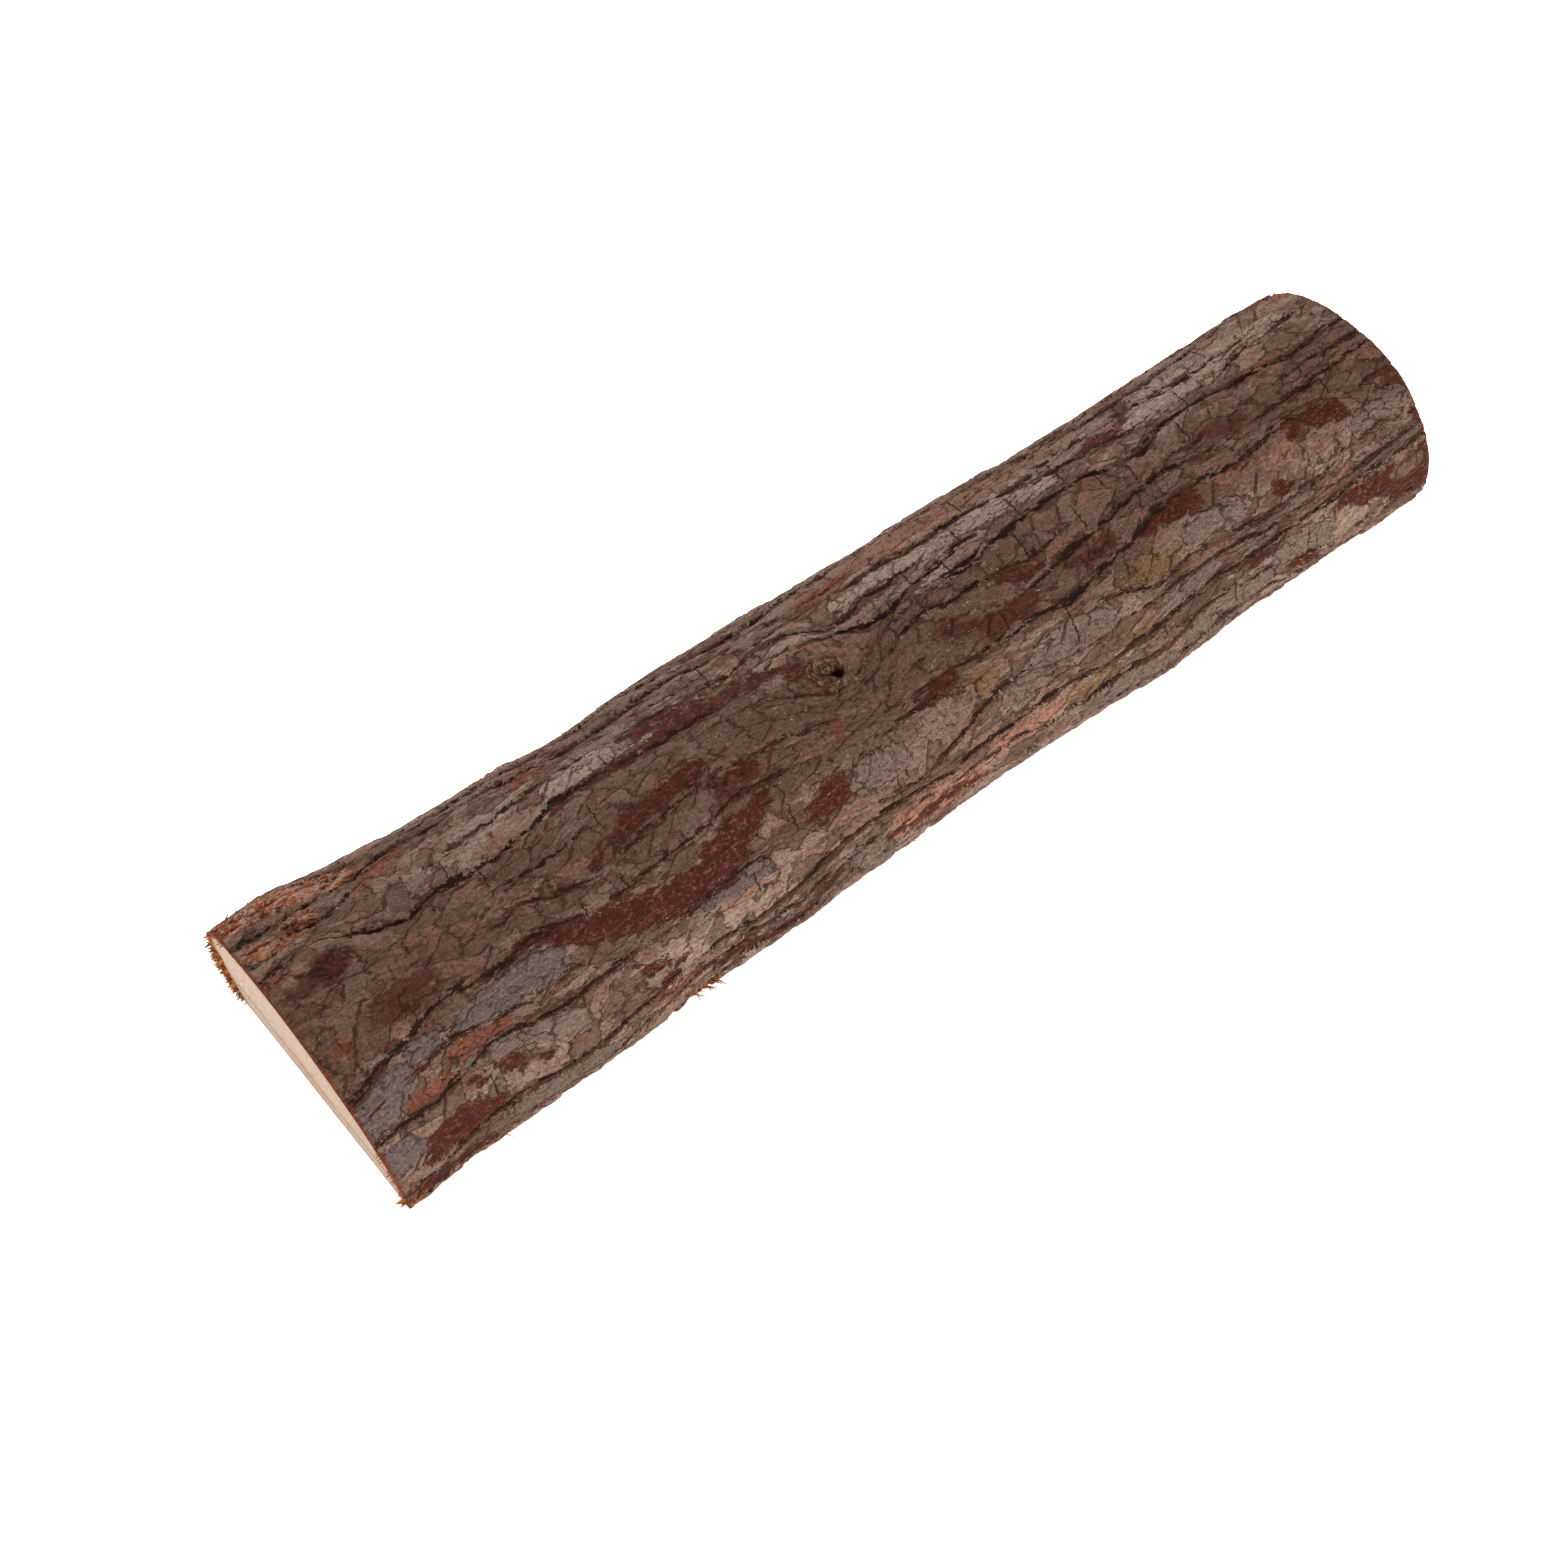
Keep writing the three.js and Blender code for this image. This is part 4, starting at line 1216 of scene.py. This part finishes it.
corners = [(x * FLOOR_REACH, y * FLOOR_REACH, 0) for x, y in ((-1, -1), (1, -1), (1, 1), (-1, 1))]
floor_mesh = bpy.data.meshes.new("floor")
floor_mesh.from_pydata(corners, [], [(0, 1, 2, 3)])
floor = bpy.data.objects.new("floor", floor_mesh)
bpy.context.scene.collection.objects.link(floor)
paper = bpy.data.materials.new("pale paper")
paper.use_nodes = True
paper_shader = paper.node_tree.nodes["Principled BSDF"]
paper_shader.inputs["Base Color"].default_value = PAPER
paper_shader.inputs["Roughness"].default_value = 0.95
paper_shader.inputs["Emission Color"].default_value = WHITE
paper_shader.inputs["Emission Strength"].default_value = PAPER_GLOW
floor.data.materials.append(paper)

SOFTBOXES = {  # name: (place in metres, width and height in metres, watts)
    "left_softbox": ((0.15, 0.85, 0.42), (1.3, 0.6), 34.0),
    "right_softbox": ((-0.05, -0.85, 0.13), (1.3, 0.5), 31.0),
    "overhead": ((-0.1, 0.1, 1.3), (1.0, 1.0), 8.0),
}
for name, (place, (width, height), watts) in SOFTBOXES.items():
    lamp = bpy.data.lights.new(name, "AREA")
    lamp.shape, lamp.size, lamp.size_y, lamp.energy = "RECTANGLE", width, height, watts
    holder = bpy.data.objects.new(name, lamp)
    holder.location = place
    holder.rotation_euler = (-Vector(place)).to_track_quat("-Z", "Y").to_euler()
    holder.visible_camera = False
    bpy.context.scene.collection.objects.link(holder)

world = bpy.data.worlds.new("studio")
world.use_nodes = True
world.node_tree.nodes["Background"].inputs["Color"].default_value = WHITE
world.node_tree.nodes["Background"].inputs["Strength"].default_value = ROOM_LIGHT
bpy.context.scene.world = world
bpy.context.scene.view_settings.view_transform = "Standard"

EYE = Vector((-0.16923, -0.33043, 0.49292))
AIM = Vector((-0.01961, -0.00627, 0.015))
ROLL = -12.334  # degrees
LENS = 72.227
SENSOR = 36
camera = bpy.data.cameras.new("camera")
camera.sensor_width = SENSOR
camera.lens = LENS
viewer = bpy.data.objects.new("camera", camera)
viewer.location = EYE
viewer.rotation_mode = "QUATERNION"
turn = Quaternion((0, 0, 1), math.radians(ROLL))
viewer.rotation_quaternion = (AIM - EYE).to_track_quat("-Z", "Y") @ turn
bpy.context.scene.collection.objects.link(viewer)
bpy.context.scene.camera = viewer
